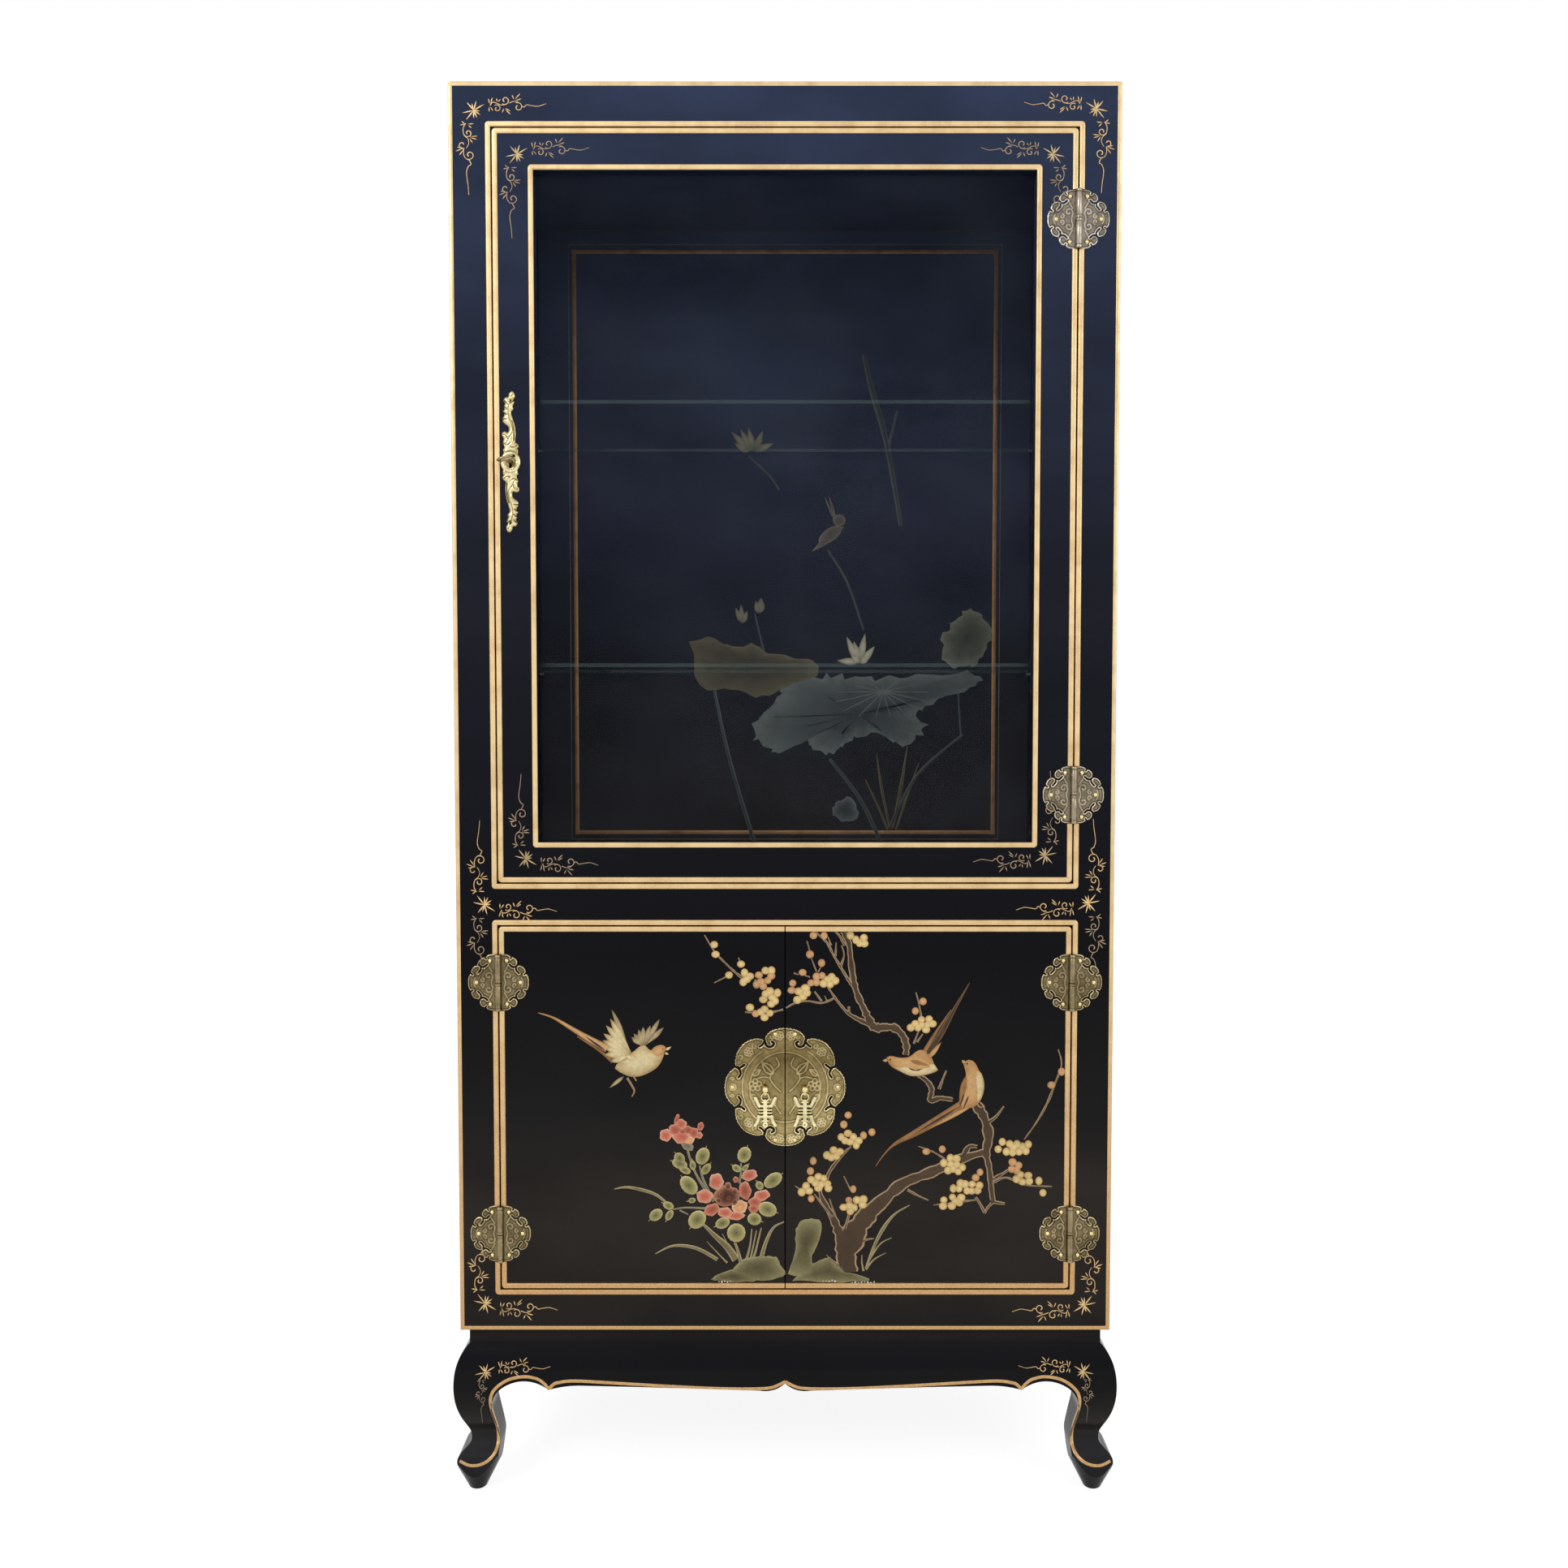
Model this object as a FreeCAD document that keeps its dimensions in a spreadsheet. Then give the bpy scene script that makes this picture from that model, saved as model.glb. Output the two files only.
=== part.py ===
import FreeCAD, Part
import math
import os
import re

import Sketcher

# A lacquered display cabinet: a framed case with a glazed door above and a pair of
# cupboard doors below, standing on a separate stand with four cabriole legs.
# Millimetres, +Z up, the front faces -Y, and the origin is on the floor under the middle.

os.makedirs("parts", exist_ok=True)
Vector = FreeCAD.Vector
ALONG_X = Vector(1, 0, 0)
ALONG_Y = Vector(0, 1, 0)
ALONG_Z = Vector(0, 0, 1)

# Driving sizes
SIZES = {
    # the case
    "case_width": 880,
    "case_depth": 405,
    "case_height": 1659,
    "stand_height": 226,
    "front_post_width": 55,
    "front_post_depth": 60,
    "door_stop_width": 8,
    "door_stop_depth": 12,
    "rear_post_width": 47,
    "rear_post_depth": 60,
    "top_rail_height": 58,
    "mid_rail_height": 56,
    "bottom_rail_height": 56,
    "lower_opening": 496,
    "front_rail_depth": 30,
    "rear_rail_depth": 25,
    "side_rail_width": 20,
    "top_thickness": 15,
    "side_thickness": 12,
    "floor_thickness": 18,
    "ceiling_thickness": 12,
    "back_thickness": 12,
    "back_inset": 8,
    # shelves
    "shelf_thickness": 5,
    "shelf_clearance": 1.5,
    "shelf_front_gap": 35,
    "shelf_back_gap": 7,
    "lower_shelf_rise": 290,
    "upper_shelf_rise": 643,
    "shelf_pin_radius": 2.5,
    "shelf_pin_length": 20,
    "shelf_pin_reach": 8,
    "shelf_pin_setback": 12,
    "pin_hole_clearance": 0.05,
    # doors
    "door_gap": 1.5,
    "door_thickness": 20,
    "door_back_gap": 0.5,
    "door_frame_width": 54,
    "glass_thickness": 4,
    "glass_front_lip": 10,
    "glass_rebate": 8,
    "glazing_stop_depth": 6,
    "bead_width": 7.3,
    "bead_rise": 2.4,
    "bead_corner_radius": 5,
    # hinges
    "hinge_half_height": 38.2,
    "barrel_radius": 4.25,
    "barrel_stand_off": 0.35,
    "hinge_pin_radius": 2,
    "hinge_pin_clearance": 0.05,
    "knuckle_gap": 0.3,
    "leaf_gap": 0.4,
    "plate_thickness": 1.6,
    "glass_door_hinge_inset": 119,
    "cupboard_hinge_inset": 77,
    "stud_head_radius": 2.9,
    "stud_head_rise": 1.9,
    "stud_shank_radius": 0.9,
    "stud_shank_length": 9,
    "stud_clearance": 0.1,
    # lock plate and drop pulls
    "plate_rise": 29,
    "plate_half": 82.5,
    "pull_spread": 26.6,
    "pull_axis_drop": 7.5,
    "pull_ball_radius": 4.8,
    "pull_ball_rise": 6.4,
    "pull_ball_reach": 7,
    "pull_neck_radius": 1.9,
    "pull_nut_radius": 5,
    "pull_nut_thickness": 2,
    "pull_lug_radius": 2.9,
    "pull_lug_width": 3,
    "pull_lug_gap": 0.2,
    "pull_eye_clearance": 0.4,
    "ring_radius": 5.2,
    "ring_wire_radius": 1.05,
    "drop_length": 47,
    "drop_width": 30.6,
    "drop_thickness": 2.2,
    # lock of the glass door
    "key_inset": 21.2,
    "key_rise": 559,
    "escutcheon_height": 185,
    "escutcheon_width": 27.5,
    "escutcheon_thickness": 2.6,
    "key_stem_radius": 2.6,
    "key_hole_clearance": 0.6,
    "key_reach": 38,
    "key_bow_width": 25,
    "key_bow_depth": 18,
    "key_bow_wire_radius": 1.8,
    "key_bit_radius": 7.8,
    "key_bit_thickness": 2.4,
    "key_bit_width": 5,
    "key_tilt_degrees": 15,
    "lock_width": 34,
    "lock_height": 56,
    "lock_depth": 13,
    "lock_wall": 2,
    "lock_chamber_radius": 8.3,
    "bolt_thickness": 8,
    "bolt_height": 12,
    "bolt_length": 28,
    "bolt_clearance": 0.2,
    "bolt_drop": 9.3,
    "mortise_depth": 10,
    # catches of the cupboard doors
    "catch_width": 30,
    "catch_height": 11,
    "catch_depth": 9,
    "catch_offset": 60,
    # stand
    "waist_inset": 10,
    "waist_height": 22,
    "waist_member": 50,
    "leg_block": 54,
    "knee_bulge": 8.6,
    "apron_thickness": 22,
    "apron_depth": 57,
    "apron_arch_width": 66,
    "apron_arch_rise": 11.7,
    "apron_shoulder_width": 41,
    "apron_shoulder_rise": 5.9,
    "apron_belly_drop": 1,
    "apron_notch_width": 34,
    "apron_notch_rise": 10,
    "foot_centre_inset": 18,
    "foot_sole_radius": 9,
    "foot_pad_radius": 13.5,
    "foot_pad_rise": 4.5,
    "foot_cone_radius": 46,
    "foot_cone_height": 68,
    # one overrun serves all cuts
    "overrun": 5,
}

# Places worked out from the sizes, in the order in which they need each other
PLACES = {
    "case_half": "case_width / 2",
    "front_y": "(key_reach - knee_bulge - case_depth) / 2",
    "rear_y": "front_y + case_depth",
    "middle_y": "front_y + case_depth / 2",
    "case_top": "stand_height + case_height",
    "post_height": "case_height - top_thickness",
    "post_top": "stand_height + post_height",
    "opening_half": "case_half - front_post_width",
    "opening_width": "2 * opening_half",
    "inner_half": "case_half - rear_post_width",
    "inner_width": "2 * inner_half",
    "lower_sill": "stand_height + bottom_rail_height",
    "lower_head": "lower_sill + lower_opening",
    "upper_sill": "lower_head + mid_rail_height",
    "upper_head": "case_top - top_rail_height",
    "upper_opening": "upper_head - upper_sill",
    "stop_start": "door_thickness + door_back_gap",
    "stop_end": "stop_start + door_stop_depth",
    "stop_reach": "front_post_width + door_stop_width",
    "floor_back_y": "rear_y - rear_rail_depth",
    "board_depth": "floor_back_y - front_y - front_rail_depth",
    "board_half": "case_half - side_thickness",
    "back_front_y": "rear_y - back_inset - back_thickness",
    "rear_post_y": "rear_y - rear_post_depth",
    "side_length": "case_depth - front_post_depth - rear_post_depth",
    "side_start_y": "front_y + front_post_depth",
    "lower_shelf_z": "upper_sill + lower_shelf_rise",
    "upper_shelf_z": "upper_sill + upper_shelf_rise",
    "shelf_depth": "back_front_y - front_y - shelf_front_gap - shelf_back_gap",
    "front_pin_y": "front_y + front_post_depth - shelf_pin_setback",
    "rear_pin_y": "rear_post_y + shelf_pin_setback",
    "door_half": "opening_half - door_gap",
    "glass_door_foot": "upper_sill + door_gap",
    "glass_door_head": "upper_head - door_gap",
    "glass_door_height": "upper_opening - 2 * door_gap",
    "sight_half": "door_half - door_frame_width",
    "sight_height": "glass_door_height - 2 * door_frame_width",
    "lip_width": "door_frame_width - glass_rebate",
    "sight_foot": "glass_door_foot + door_frame_width",
    "cupboard_door_height": "lower_opening - 2 * door_gap",
    "cupboard_door_foot": "lower_sill + door_gap",
    "cupboard_door_width": "door_half - door_gap / 2",
    "hinge_x": "opening_half - door_gap / 2",
    "hinge_y": "front_y - barrel_radius - barrel_stand_off",
    "high_hinge_z": "upper_head - glass_door_hinge_inset",
    "third_hinge_z": "upper_sill + glass_door_hinge_inset",
    "second_hinge_z": "lower_head - cupboard_hinge_inset",
    "low_hinge_z": "lower_sill + cupboard_hinge_inset",
    "plate_z": "(lower_sill + lower_head) / 2 + plate_rise",
    "plate_front_y": "front_y - plate_thickness",
    "pull_axis_z": "plate_z - pull_axis_drop",
    "pull_axis_y": "plate_front_y - pull_lug_radius - pull_lug_gap",
    "key_x": "key_inset - door_half",
    "key_z": "upper_sill + key_rise",
    "bolt_low_z": "key_z + bolt_drop",
    "bolt_y": "front_y + door_thickness - lock_depth + lock_wall",
    "lock_front_y": "front_y + door_thickness - lock_depth",
    "leg_height": "stand_height - waist_height",
    "foot_axis": "case_half - foot_centre_inset",
}

doc = FreeCAD.newDocument("display_cabinet")
sheet = doc.addObject("Spreadsheet::Sheet", "sizes")
for row, (alias, amount) in enumerate(SIZES.items(), start=1):
    sheet.set("A%d" % row, alias)
    sheet.set("B%d" % row, str(amount))
    sheet.setAlias("B%d" % row, alias)
doc.recompute()


def formula(text):
    """The text with each size or place written as a reference to what holds it."""
    def refer(found):
        word = found.group(0)
        return ("sizes." if word in SIZES else "places.") + word
    return re.sub(r"[a-z][a-z_]+", refer, text)


places = doc.addObject("App::VarSet", "places")
for name in PLACES:
    places.addProperty("App::PropertyFloat", name, "Places")
for name, text in PLACES.items():
    places.setExpression(name, formula(text))
doc.recompute()


def mm(name):
    """The number that a size or a place holds now."""
    if name in SIZES:
        return float(sheet.get(name))
    return float(getattr(places, name))


def bind(item, **formulas):
    """Binds properties of an object to formulas."""
    for name, text in formulas.items():
        item.setExpression(name, formula(text))


def put(item, x, y, z):
    """Binds where an object stands."""
    for axis, text in (("x", x), ("y", y), ("z", z)):
        item.setExpression("Placement.Base." + axis, formula(text))
    return item


def board(label, x, y, z, width, depth, height):
    """A plain rectangular board with its low corner at x, y, z."""
    item = doc.addObject("Part::Box", label)
    bind(item, Length=width, Width=depth, Height=height)
    return put(item, x, y, z)


def group(label, items):
    item = doc.addObject("Part::Compound", label)
    item.Links = items
    return item


def cut(label, base, tool):
    item = doc.addObject("Part::Cut", label)
    item.Base = base
    item.Tool = tool
    return item


def mirrored(label, source, normal, **base):
    """A mirror image across a plane through the origin, or through the base given."""
    item = doc.addObject("Part::Mirroring", label)
    item.Source = source
    item.Normal = normal
    for axis, text in base.items():
        item.setExpression("Base." + axis, formula(text))
    return item


def made(label, shape):
    """An object that holds a shape made from the sheet's numbers."""
    item = doc.addObject("Part::Feature", label)
    item.Shape = shape
    return item


def section_body(label, plane, corners, length):
    """A body padded from one closed outline, with each corner held to the sheet."""
    body = doc.addObject("PartDesign::Body", label)
    sketch = body.newObject("Sketcher::SketchObject", label + "_outline")
    origin = [item for item in body.Origin.OriginFeatures if item.Role == plane][0]
    sketch.AttachmentSupport = [(origin, "")]
    sketch.MapMode = "FlatFace"
    spots = []
    for across, up in corners:
        spots.append(Vector(mm(across) if across else 0, mm(up) if up else 0, 0))
    count = len(corners)
    for turn in range(count):
        sketch.addGeometry(Part.LineSegment(spots[turn], spots[(turn + 1) % count]), False)
    for turn in range(count):
        sketch.addConstraint(Sketcher.Constraint("Coincident", turn, 2, (turn + 1) % count, 1))
    for turn, (across, up) in enumerate(corners):
        hold(sketch, turn, "DistanceX", across, spots[turn].x, -2)
        hold(sketch, turn, "DistanceY", up, spots[turn].y, -1)
    pad = body.newObject("PartDesign::Pad", label + "_pad")
    pad.Profile = sketch
    pad.setExpression("Length", formula(length))
    sketch.Visibility = False
    return body


def hold(sketch, corner, kind, name, amount, axis):
    """Holds a corner to the origin by a named distance, or to an axis."""
    if not name:
        sketch.addConstraint(Sketcher.Constraint("PointOnObject", corner, 1, axis))
        return
    place = sketch.addConstraint(Sketcher.Constraint(kind, -1, 1, corner, 1, amount))
    sketch.setExpression("Constraints[%d]" % place, formula(name))


def fused(shapes):
    whole = shapes[0].multiFuse(shapes[1:]) if len(shapes) > 1 else shapes[0]
    return whole.removeSplitter()


def block(x_low, x_high, y_low, y_high, z_low, z_high):
    corner = Vector(x_low, y_low, z_low)
    return Part.makeBox(x_high - x_low, y_high - y_low, z_high - z_low, corner)


def disc(x, z, radius, y, depth):
    """A round plate that lies on the front, y being its front face."""
    return Part.makeCylinder(radius, depth, Vector(x, y, z), ALONG_Y)


# Case: posts
HINGES = (
    ("glass_door", 1, "high_hinge_z"),
    ("glass_door", 1, "third_hinge_z"),
    ("left_door", -1, "second_hinge_z"),
    ("left_door", -1, "low_hinge_z"),
    ("right_door", 1, "second_hinge_z"),
    ("right_door", 1, "low_hinge_z"),
)
# Where a leaf's studs sit, as shares of the hinge's half height
HINGE_STUD_SHARES = ((0.288, 0.77), (0.772, 0), (0.288, -0.77))
# Where a half lock plate's studs sit, as shares of its radius
PLATE_STUD_SHARES = ((0.16, 0.872), (0.86, 0), (0.16, -0.872))


def hinge_stud_places(side, hinge_z, leaf_side):
    """The x and z of the studs in one leaf; side is the hinge's, leaf_side where the leaf lies."""
    half = mm("hinge_half_height")
    spots = []
    for across_share, up_share in HINGE_STUD_SHARES:
        x = side * mm("hinge_x") + leaf_side * across_share * half
        spots.append((x, mm(hinge_z) + up_share * half))
    return spots


def plate_stud_places(side):
    radius = mm("plate_half")
    return [(side * across * radius, mm("plate_z") + up * radius) for across, up in PLATE_STUD_SHARES]


def frame_stud_places():
    spots = []
    for door, side, hinge_z in HINGES:
        spots += hinge_stud_places(side, hinge_z, side)
    return spots


def door_stud_places(wanted):
    spots = []
    for door, side, hinge_z in HINGES:
        if door == wanted:
            spots += hinge_stud_places(side, hinge_z, -side)
    return spots


def stud(x, z):
    """A domed stud whose shank runs through the plate into the wood."""
    head = mm("stud_head_radius")
    rise = mm("stud_head_rise")
    sphere_radius = (head ** 2 + rise ** 2) / (2 * rise)
    face = mm("plate_front_y")
    ball = Part.makeSphere(sphere_radius, Vector(x, face - rise + sphere_radius, z))
    dome = ball.common(disc(x, z, head, face - rise, rise))
    length = mm("plate_thickness") + mm("stud_shank_length")
    shank = disc(x, z, mm("stud_shank_radius"), face, length)
    return fused([dome, shank])


def stud_holes(label, spots):
    """The drillings for the studs' shanks, through plate and wood."""
    radius = mm("stud_shank_radius") + mm("stud_clearance")
    start = mm("plate_front_y") - mm("overrun")
    depth = mm("overrun") + mm("plate_thickness") + mm("stud_shank_length") + mm("stud_clearance")
    return made(label, Part.makeCompound([disc(x, z, radius, start, depth) for x, z in spots]))


def shelf_pin_shapes(radius):
    """A round bar for each shelf pin, from inside the post to under the glass."""
    bars = []
    reach = mm("shelf_pin_reach")
    for shelf_z in ("lower_shelf_z", "upper_shelf_z"):
        z = mm(shelf_z) - mm("shelf_pin_radius")
        for y in ("front_pin_y", "rear_pin_y"):
            for side in (-1, 1):
                start = Vector(side * (mm("inner_half") - reach), mm(y), z)
                bars.append(Part.makeCylinder(radius, mm("shelf_pin_length"), start, ALONG_X * side))
    return bars


def post_section(label):
    """The front corner post's section: a door rebate, the stop behind it, then the slimmer back."""
    corners = (
        ("", ""),
        ("front_post_width", ""),
        ("front_post_width", "stop_start"),
        ("stop_reach", "stop_start"),
        ("stop_reach", "stop_end"),
        ("rear_post_width", "stop_end"),
        ("rear_post_width", "front_post_depth"),
        ("", "front_post_depth"),
    )
    body = section_body(label, "XY_Plane", corners, "post_height")
    return put(body, "-case_half", "front_y", "stand_height")


pin_holes = made(
    "shelf_pin_holes",
    Part.makeCompound(shelf_pin_shapes(mm("shelf_pin_radius") + mm("pin_hole_clearance"))),
)
frame_drillings = stud_holes("frame_stud_holes", frame_stud_places())
post_body = post_section("front_post_section")
post_mirror = mirrored("front_post_mirror", post_body, ALONG_X)
mortise = board(
    "bolt_mortise",
    "-opening_half - mortise_depth", "bolt_y - bolt_clearance", "bolt_low_z - bolt_clearance",
    "mortise_depth + overrun", "bolt_thickness + 2 * bolt_clearance", "bolt_height + 2 * bolt_clearance",
)
left_post_cuts = group("left_post_cuts", [pin_holes, frame_drillings, mortise])
right_post_cuts = group("right_post_cuts", [pin_holes, frame_drillings])
front_post_left = cut("front_post_left", post_body, left_post_cuts)
front_post_right = cut("front_post_right", post_mirror, right_post_cuts)


def rear_post(label, x):
    return board(
        label, x, "rear_post_y", "stand_height", "rear_post_width", "rear_post_depth", "post_height",
    )


rear_post_pair = group("rear_post_pair", [
    rear_post("rear_post_blank_left", "-case_half"),
    rear_post("rear_post_blank_right", "inner_half"),
])
rear_posts = cut("rear_posts", rear_post_pair, pin_holes)


# Case: rails and boards
# The door stops stand behind the opening, so the front rails are notched round them
def stop_notch(label, x):
    return board(
        label, x, "front_y + stop_start", "stand_height",
        "door_stop_width", "door_stop_depth", "post_height",
    )


stop_notches = group("stop_notches", [
    stop_notch("stop_notch_left", "-opening_half"),
    stop_notch("stop_notch_right", "opening_half - door_stop_width"),
])


def front_rail(label, z, height):
    blank = board(
        label + "_blank", "-opening_half", "front_y", z, "opening_width", "front_rail_depth", height,
    )
    return cut(label, blank, stop_notches)


top_rail = front_rail("top_rail", "upper_head", "top_rail_height - top_thickness")
mid_rail = front_rail("mid_rail", "lower_head", "mid_rail_height")
bottom_rail = front_rail("bottom_rail", "stand_height", "bottom_rail_height")


def rear_rail(label, z, height):
    return board(label, "-inner_half", "floor_back_y", z, "inner_width", "rear_rail_depth", height)


def side_rail(label, x, z, height):
    return board(label, x, "side_start_y", z, "side_rail_width", "side_length", height)


SIDE_RAIL_LEVELS = (
    ("low", "stand_height", "bottom_rail_height - floor_thickness"),
    ("mid", "lower_head", "mid_rail_height - floor_thickness"),
    ("high", "upper_head + ceiling_thickness", "top_rail_height - top_thickness - ceiling_thickness"),
)
rails = [
    rear_rail("rear_rail_low", "stand_height", "bottom_rail_height"),
    rear_rail("rear_rail_mid", "lower_head", "mid_rail_height"),
    rear_rail("rear_rail_high", "upper_head", "top_rail_height - top_thickness"),
]
for level, z, height in SIDE_RAIL_LEVELS:
    rails.append(side_rail("side_rail_left_" + level, "-board_half", z, height))
    rails.append(side_rail("side_rail_right_" + level, "board_half - side_rail_width", z, height))
carcass_rails = group("carcass_rails", rails)


def corner_notches():
    """The corners that the posts take out of a floor or ceiling board."""
    front_corner_y = "front_y + front_rail_depth"
    post_side = "rear_post_width - side_thickness"
    stop_side = "stop_reach - side_thickness"
    items = []
    for hand, post_x, stop_x in (
        ("left", "-board_half", "-board_half"),
        ("right", "inner_half", "opening_half - door_stop_width"),
    ):
        for name, x, y, width, depth in (
            ("front", post_x, front_corner_y, post_side, "front_post_depth - front_rail_depth"),
            ("stop", stop_x, front_corner_y, stop_side, "stop_end - front_rail_depth"),
            ("rear", post_x, "rear_post_y", post_side, "rear_post_depth"),
        ):
            label = "notch_" + name + "_" + hand
            items.append(board(label, x, y, "stand_height", width, depth, "post_height"))
    return group("corner_notches", items)


notches = corner_notches()


def notched_board(label, z, thickness):
    """A floor or ceiling board that fills the case between its posts."""
    blank = board(
        label + "_blank", "-board_half", "front_y + front_rail_depth", z,
        "2 * board_half", "board_depth", thickness,
    )
    return cut(label, blank, notches)


display_ceiling = notched_board("display_ceiling", "upper_head", "ceiling_thickness")
display_floor = notched_board("display_floor", "upper_sill - floor_thickness", "floor_thickness")
cupboard_floor = notched_board("cupboard_floor", "lower_sill - floor_thickness", "floor_thickness")
top_panel = board(
    "top_panel", "-case_half", "front_y", "post_top", "case_width", "case_depth", "top_thickness",
)


def side_panel(label, x):
    return board(
        label, x, "side_start_y", "stand_height", "side_thickness", "side_length", "post_height",
    )


side_panels = group("side_panels", [
    side_panel("side_panel_left", "-case_half"),
    side_panel("side_panel_right", "board_half"),
])


def back_panel(label, z, height):
    return board(label, "-inner_half", "back_front_y", z, "inner_width", "back_thickness", height)


back_panel_upper = back_panel("back_panel_upper", "upper_sill", "upper_opening")
back_panel_lower = back_panel("back_panel_lower", "lower_sill", "lower_opening")


# Glass shelves on their pins
def glass_shelf(label, z):
    width = "2 * (inner_half - shelf_clearance)"
    x = "shelf_clearance - inner_half"
    return board(label, x, "front_y + shelf_front_gap", z, width, "shelf_depth", "shelf_thickness")


glass_shelf_upper = glass_shelf("glass_shelf_upper", "upper_shelf_z")
glass_shelf_lower = glass_shelf("glass_shelf_lower", "lower_shelf_z")
shelf_pins = made("shelf_pins", Part.makeCompound(shelf_pin_shapes(mm("shelf_pin_radius"))))


# Gilt beads: a raised ring on the front face with its long edges rounded over
def bead_ring(x_low, x_high, z_low, z_high):
    """A ring that lies inside the box given, with rounded outer corners and long edges."""
    width = mm("bead_width")
    face = mm("front_y")
    rise = mm("bead_rise")
    outer = block(x_low, x_high, face - rise, face, z_low, z_high)
    uprights = [edge for edge in outer.Edges if edge.BoundBox.YLength > rise / 2]
    outer = outer.makeFillet(mm("bead_corner_radius"), uprights)
    inner = block(
        x_low + width, x_high - width, face - 2 * rise, face + rise, z_low + width, z_high - width,
    )
    ring = outer.cut(inner)
    round_share = 0.86
    near_share = 0.1
    radius = min(rise, width / 2) * round_share
    rims = [edge for edge in ring.Edges if edge.BoundBox.YMax < face - rise + near_share * rise]
    return ring.makeFillet(radius, rims)


def hinge_clearances(half_width):
    """Boxes that stop the beads short of each hinge."""
    height = mm("hinge_half_height") + mm("knuckle_gap")
    face = mm("front_y")
    reach = mm("overrun")
    boxes = []
    for door, side, hinge_z in HINGES:
        x = side * mm("hinge_x")
        low_z = mm(hinge_z) - height
        high_z = mm(hinge_z) + height
        boxes.append(block(x - half_width, x + half_width, face - reach, face + reach, low_z, high_z))
    return Part.makeCompound(boxes)


bead_stops = hinge_clearances(mm("bead_width") + mm("door_gap"))


def frame_bead(label, z_low, z_high):
    reach = mm("opening_half") + mm("bead_width")
    ring = bead_ring(-reach, reach, mm(z_low) - mm("bead_width"), mm(z_high) + mm("bead_width"))
    return made(label, ring.cut(bead_stops))


upper_frame_bead = frame_bead("upper_frame_bead", "upper_sill", "upper_head")
lower_frame_bead = frame_bead("lower_frame_bead", "lower_sill", "lower_head")


# Stand: waist frame, aprons and legs
def waist_rail(label, x, y, width, depth):
    return board(label, x, y, "leg_height", width, depth, "waist_height")


waist_left_x = "waist_inset - case_half"
waist_right_x = "case_half - waist_inset - waist_member"
waist_front_y = "front_y + waist_inset"
waist_rear_y = "rear_y - waist_inset - waist_member"
waist_cross_y = waist_front_y + " + waist_member"
waist_run = "case_width - 2 * waist_inset"
waist_cross = "case_depth - 2 * waist_inset - 2 * waist_member"
waist_frame = group("waist_frame", [
    waist_rail("waist_front", waist_left_x, waist_front_y, waist_run, "waist_member"),
    waist_rail("waist_rear", waist_left_x, waist_rear_y, waist_run, "waist_member"),
    waist_rail("waist_left", waist_left_x, waist_cross_y, "waist_member", waist_cross),
    waist_rail("waist_right", waist_right_x, waist_cross_y, "waist_member", waist_cross),
])

# The leg's outer outline from shoulder to toe: how far it stands out as a share of the
# knee's bulge, and its height as a share of the leg's
LEG_OUTER_SHARES = (
    (0.47, 0.893), (0.98, 0.775), (0.84, 0.64), (0.33, 0.549), (-0.52, 0.46),
    (-1.24, 0.382), (-1.12, 0.321), (-0.35, 0.289), (0.35, 0.26), (0.62, 0.228),
)
# Its inner outline from the arch to the heel: inset as a share of the block, and height
LEG_INNER_SHARES = ((0.84, 0.664), (0.778, 0.603), (0.807, 0.529), (0.88, 0.417), (0.933, 0.309))


def leg_outer_curve():
    """The S-shaped outer edge, as inset from the case's face and height."""
    height = mm("leg_height")
    points = [Vector(mm("waist_inset"), height, 0)]
    for out_share, up_share in LEG_OUTER_SHARES:
        points.append(Vector(-out_share * mm("knee_bulge"), up_share * height, 0))
    curve = Part.BSplineCurve()
    curve.interpolate(points)
    return curve.toShape(), points[0], points[-1]


def leg_inner_curve():
    block_width = mm("leg_block")
    height = mm("leg_height")
    points = [Vector(block_width, height - mm("apron_depth"), 0)]
    for in_share, up_share in LEG_INNER_SHARES:
        points.append(Vector(in_share * block_width, up_share * height, 0))
    curve = Part.BSplineCurve()
    curve.interpolate(points)
    return curve.toShape(), points[0], points[-1]


def leg_outline():
    """The leg's silhouette as a face, with inset across and height up."""
    outer, shoulder, toe = leg_outer_curve()
    inner, arch, heel = leg_inner_curve()
    toe_foot = Vector(toe.x, 0, 0)
    heel_foot = Vector(heel.x, 0, 0)
    block_top = Vector(arch.x, mm("leg_height"), 0)
    lines = [
        Part.makeLine(toe, toe_foot), Part.makeLine(toe_foot, heel_foot), Part.makeLine(heel_foot, heel),
        Part.makeLine(arch, block_top), Part.makeLine(block_top, shoulder),
    ]
    return Part.Face(Part.Wire(Part.__sortEdges__([outer, inner] + lines)))


def upright(face):
    """The silhouette stood up, so that its height runs along Z."""
    return face.rotated(Vector(0, 0, 0), ALONG_X, 90)


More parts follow.
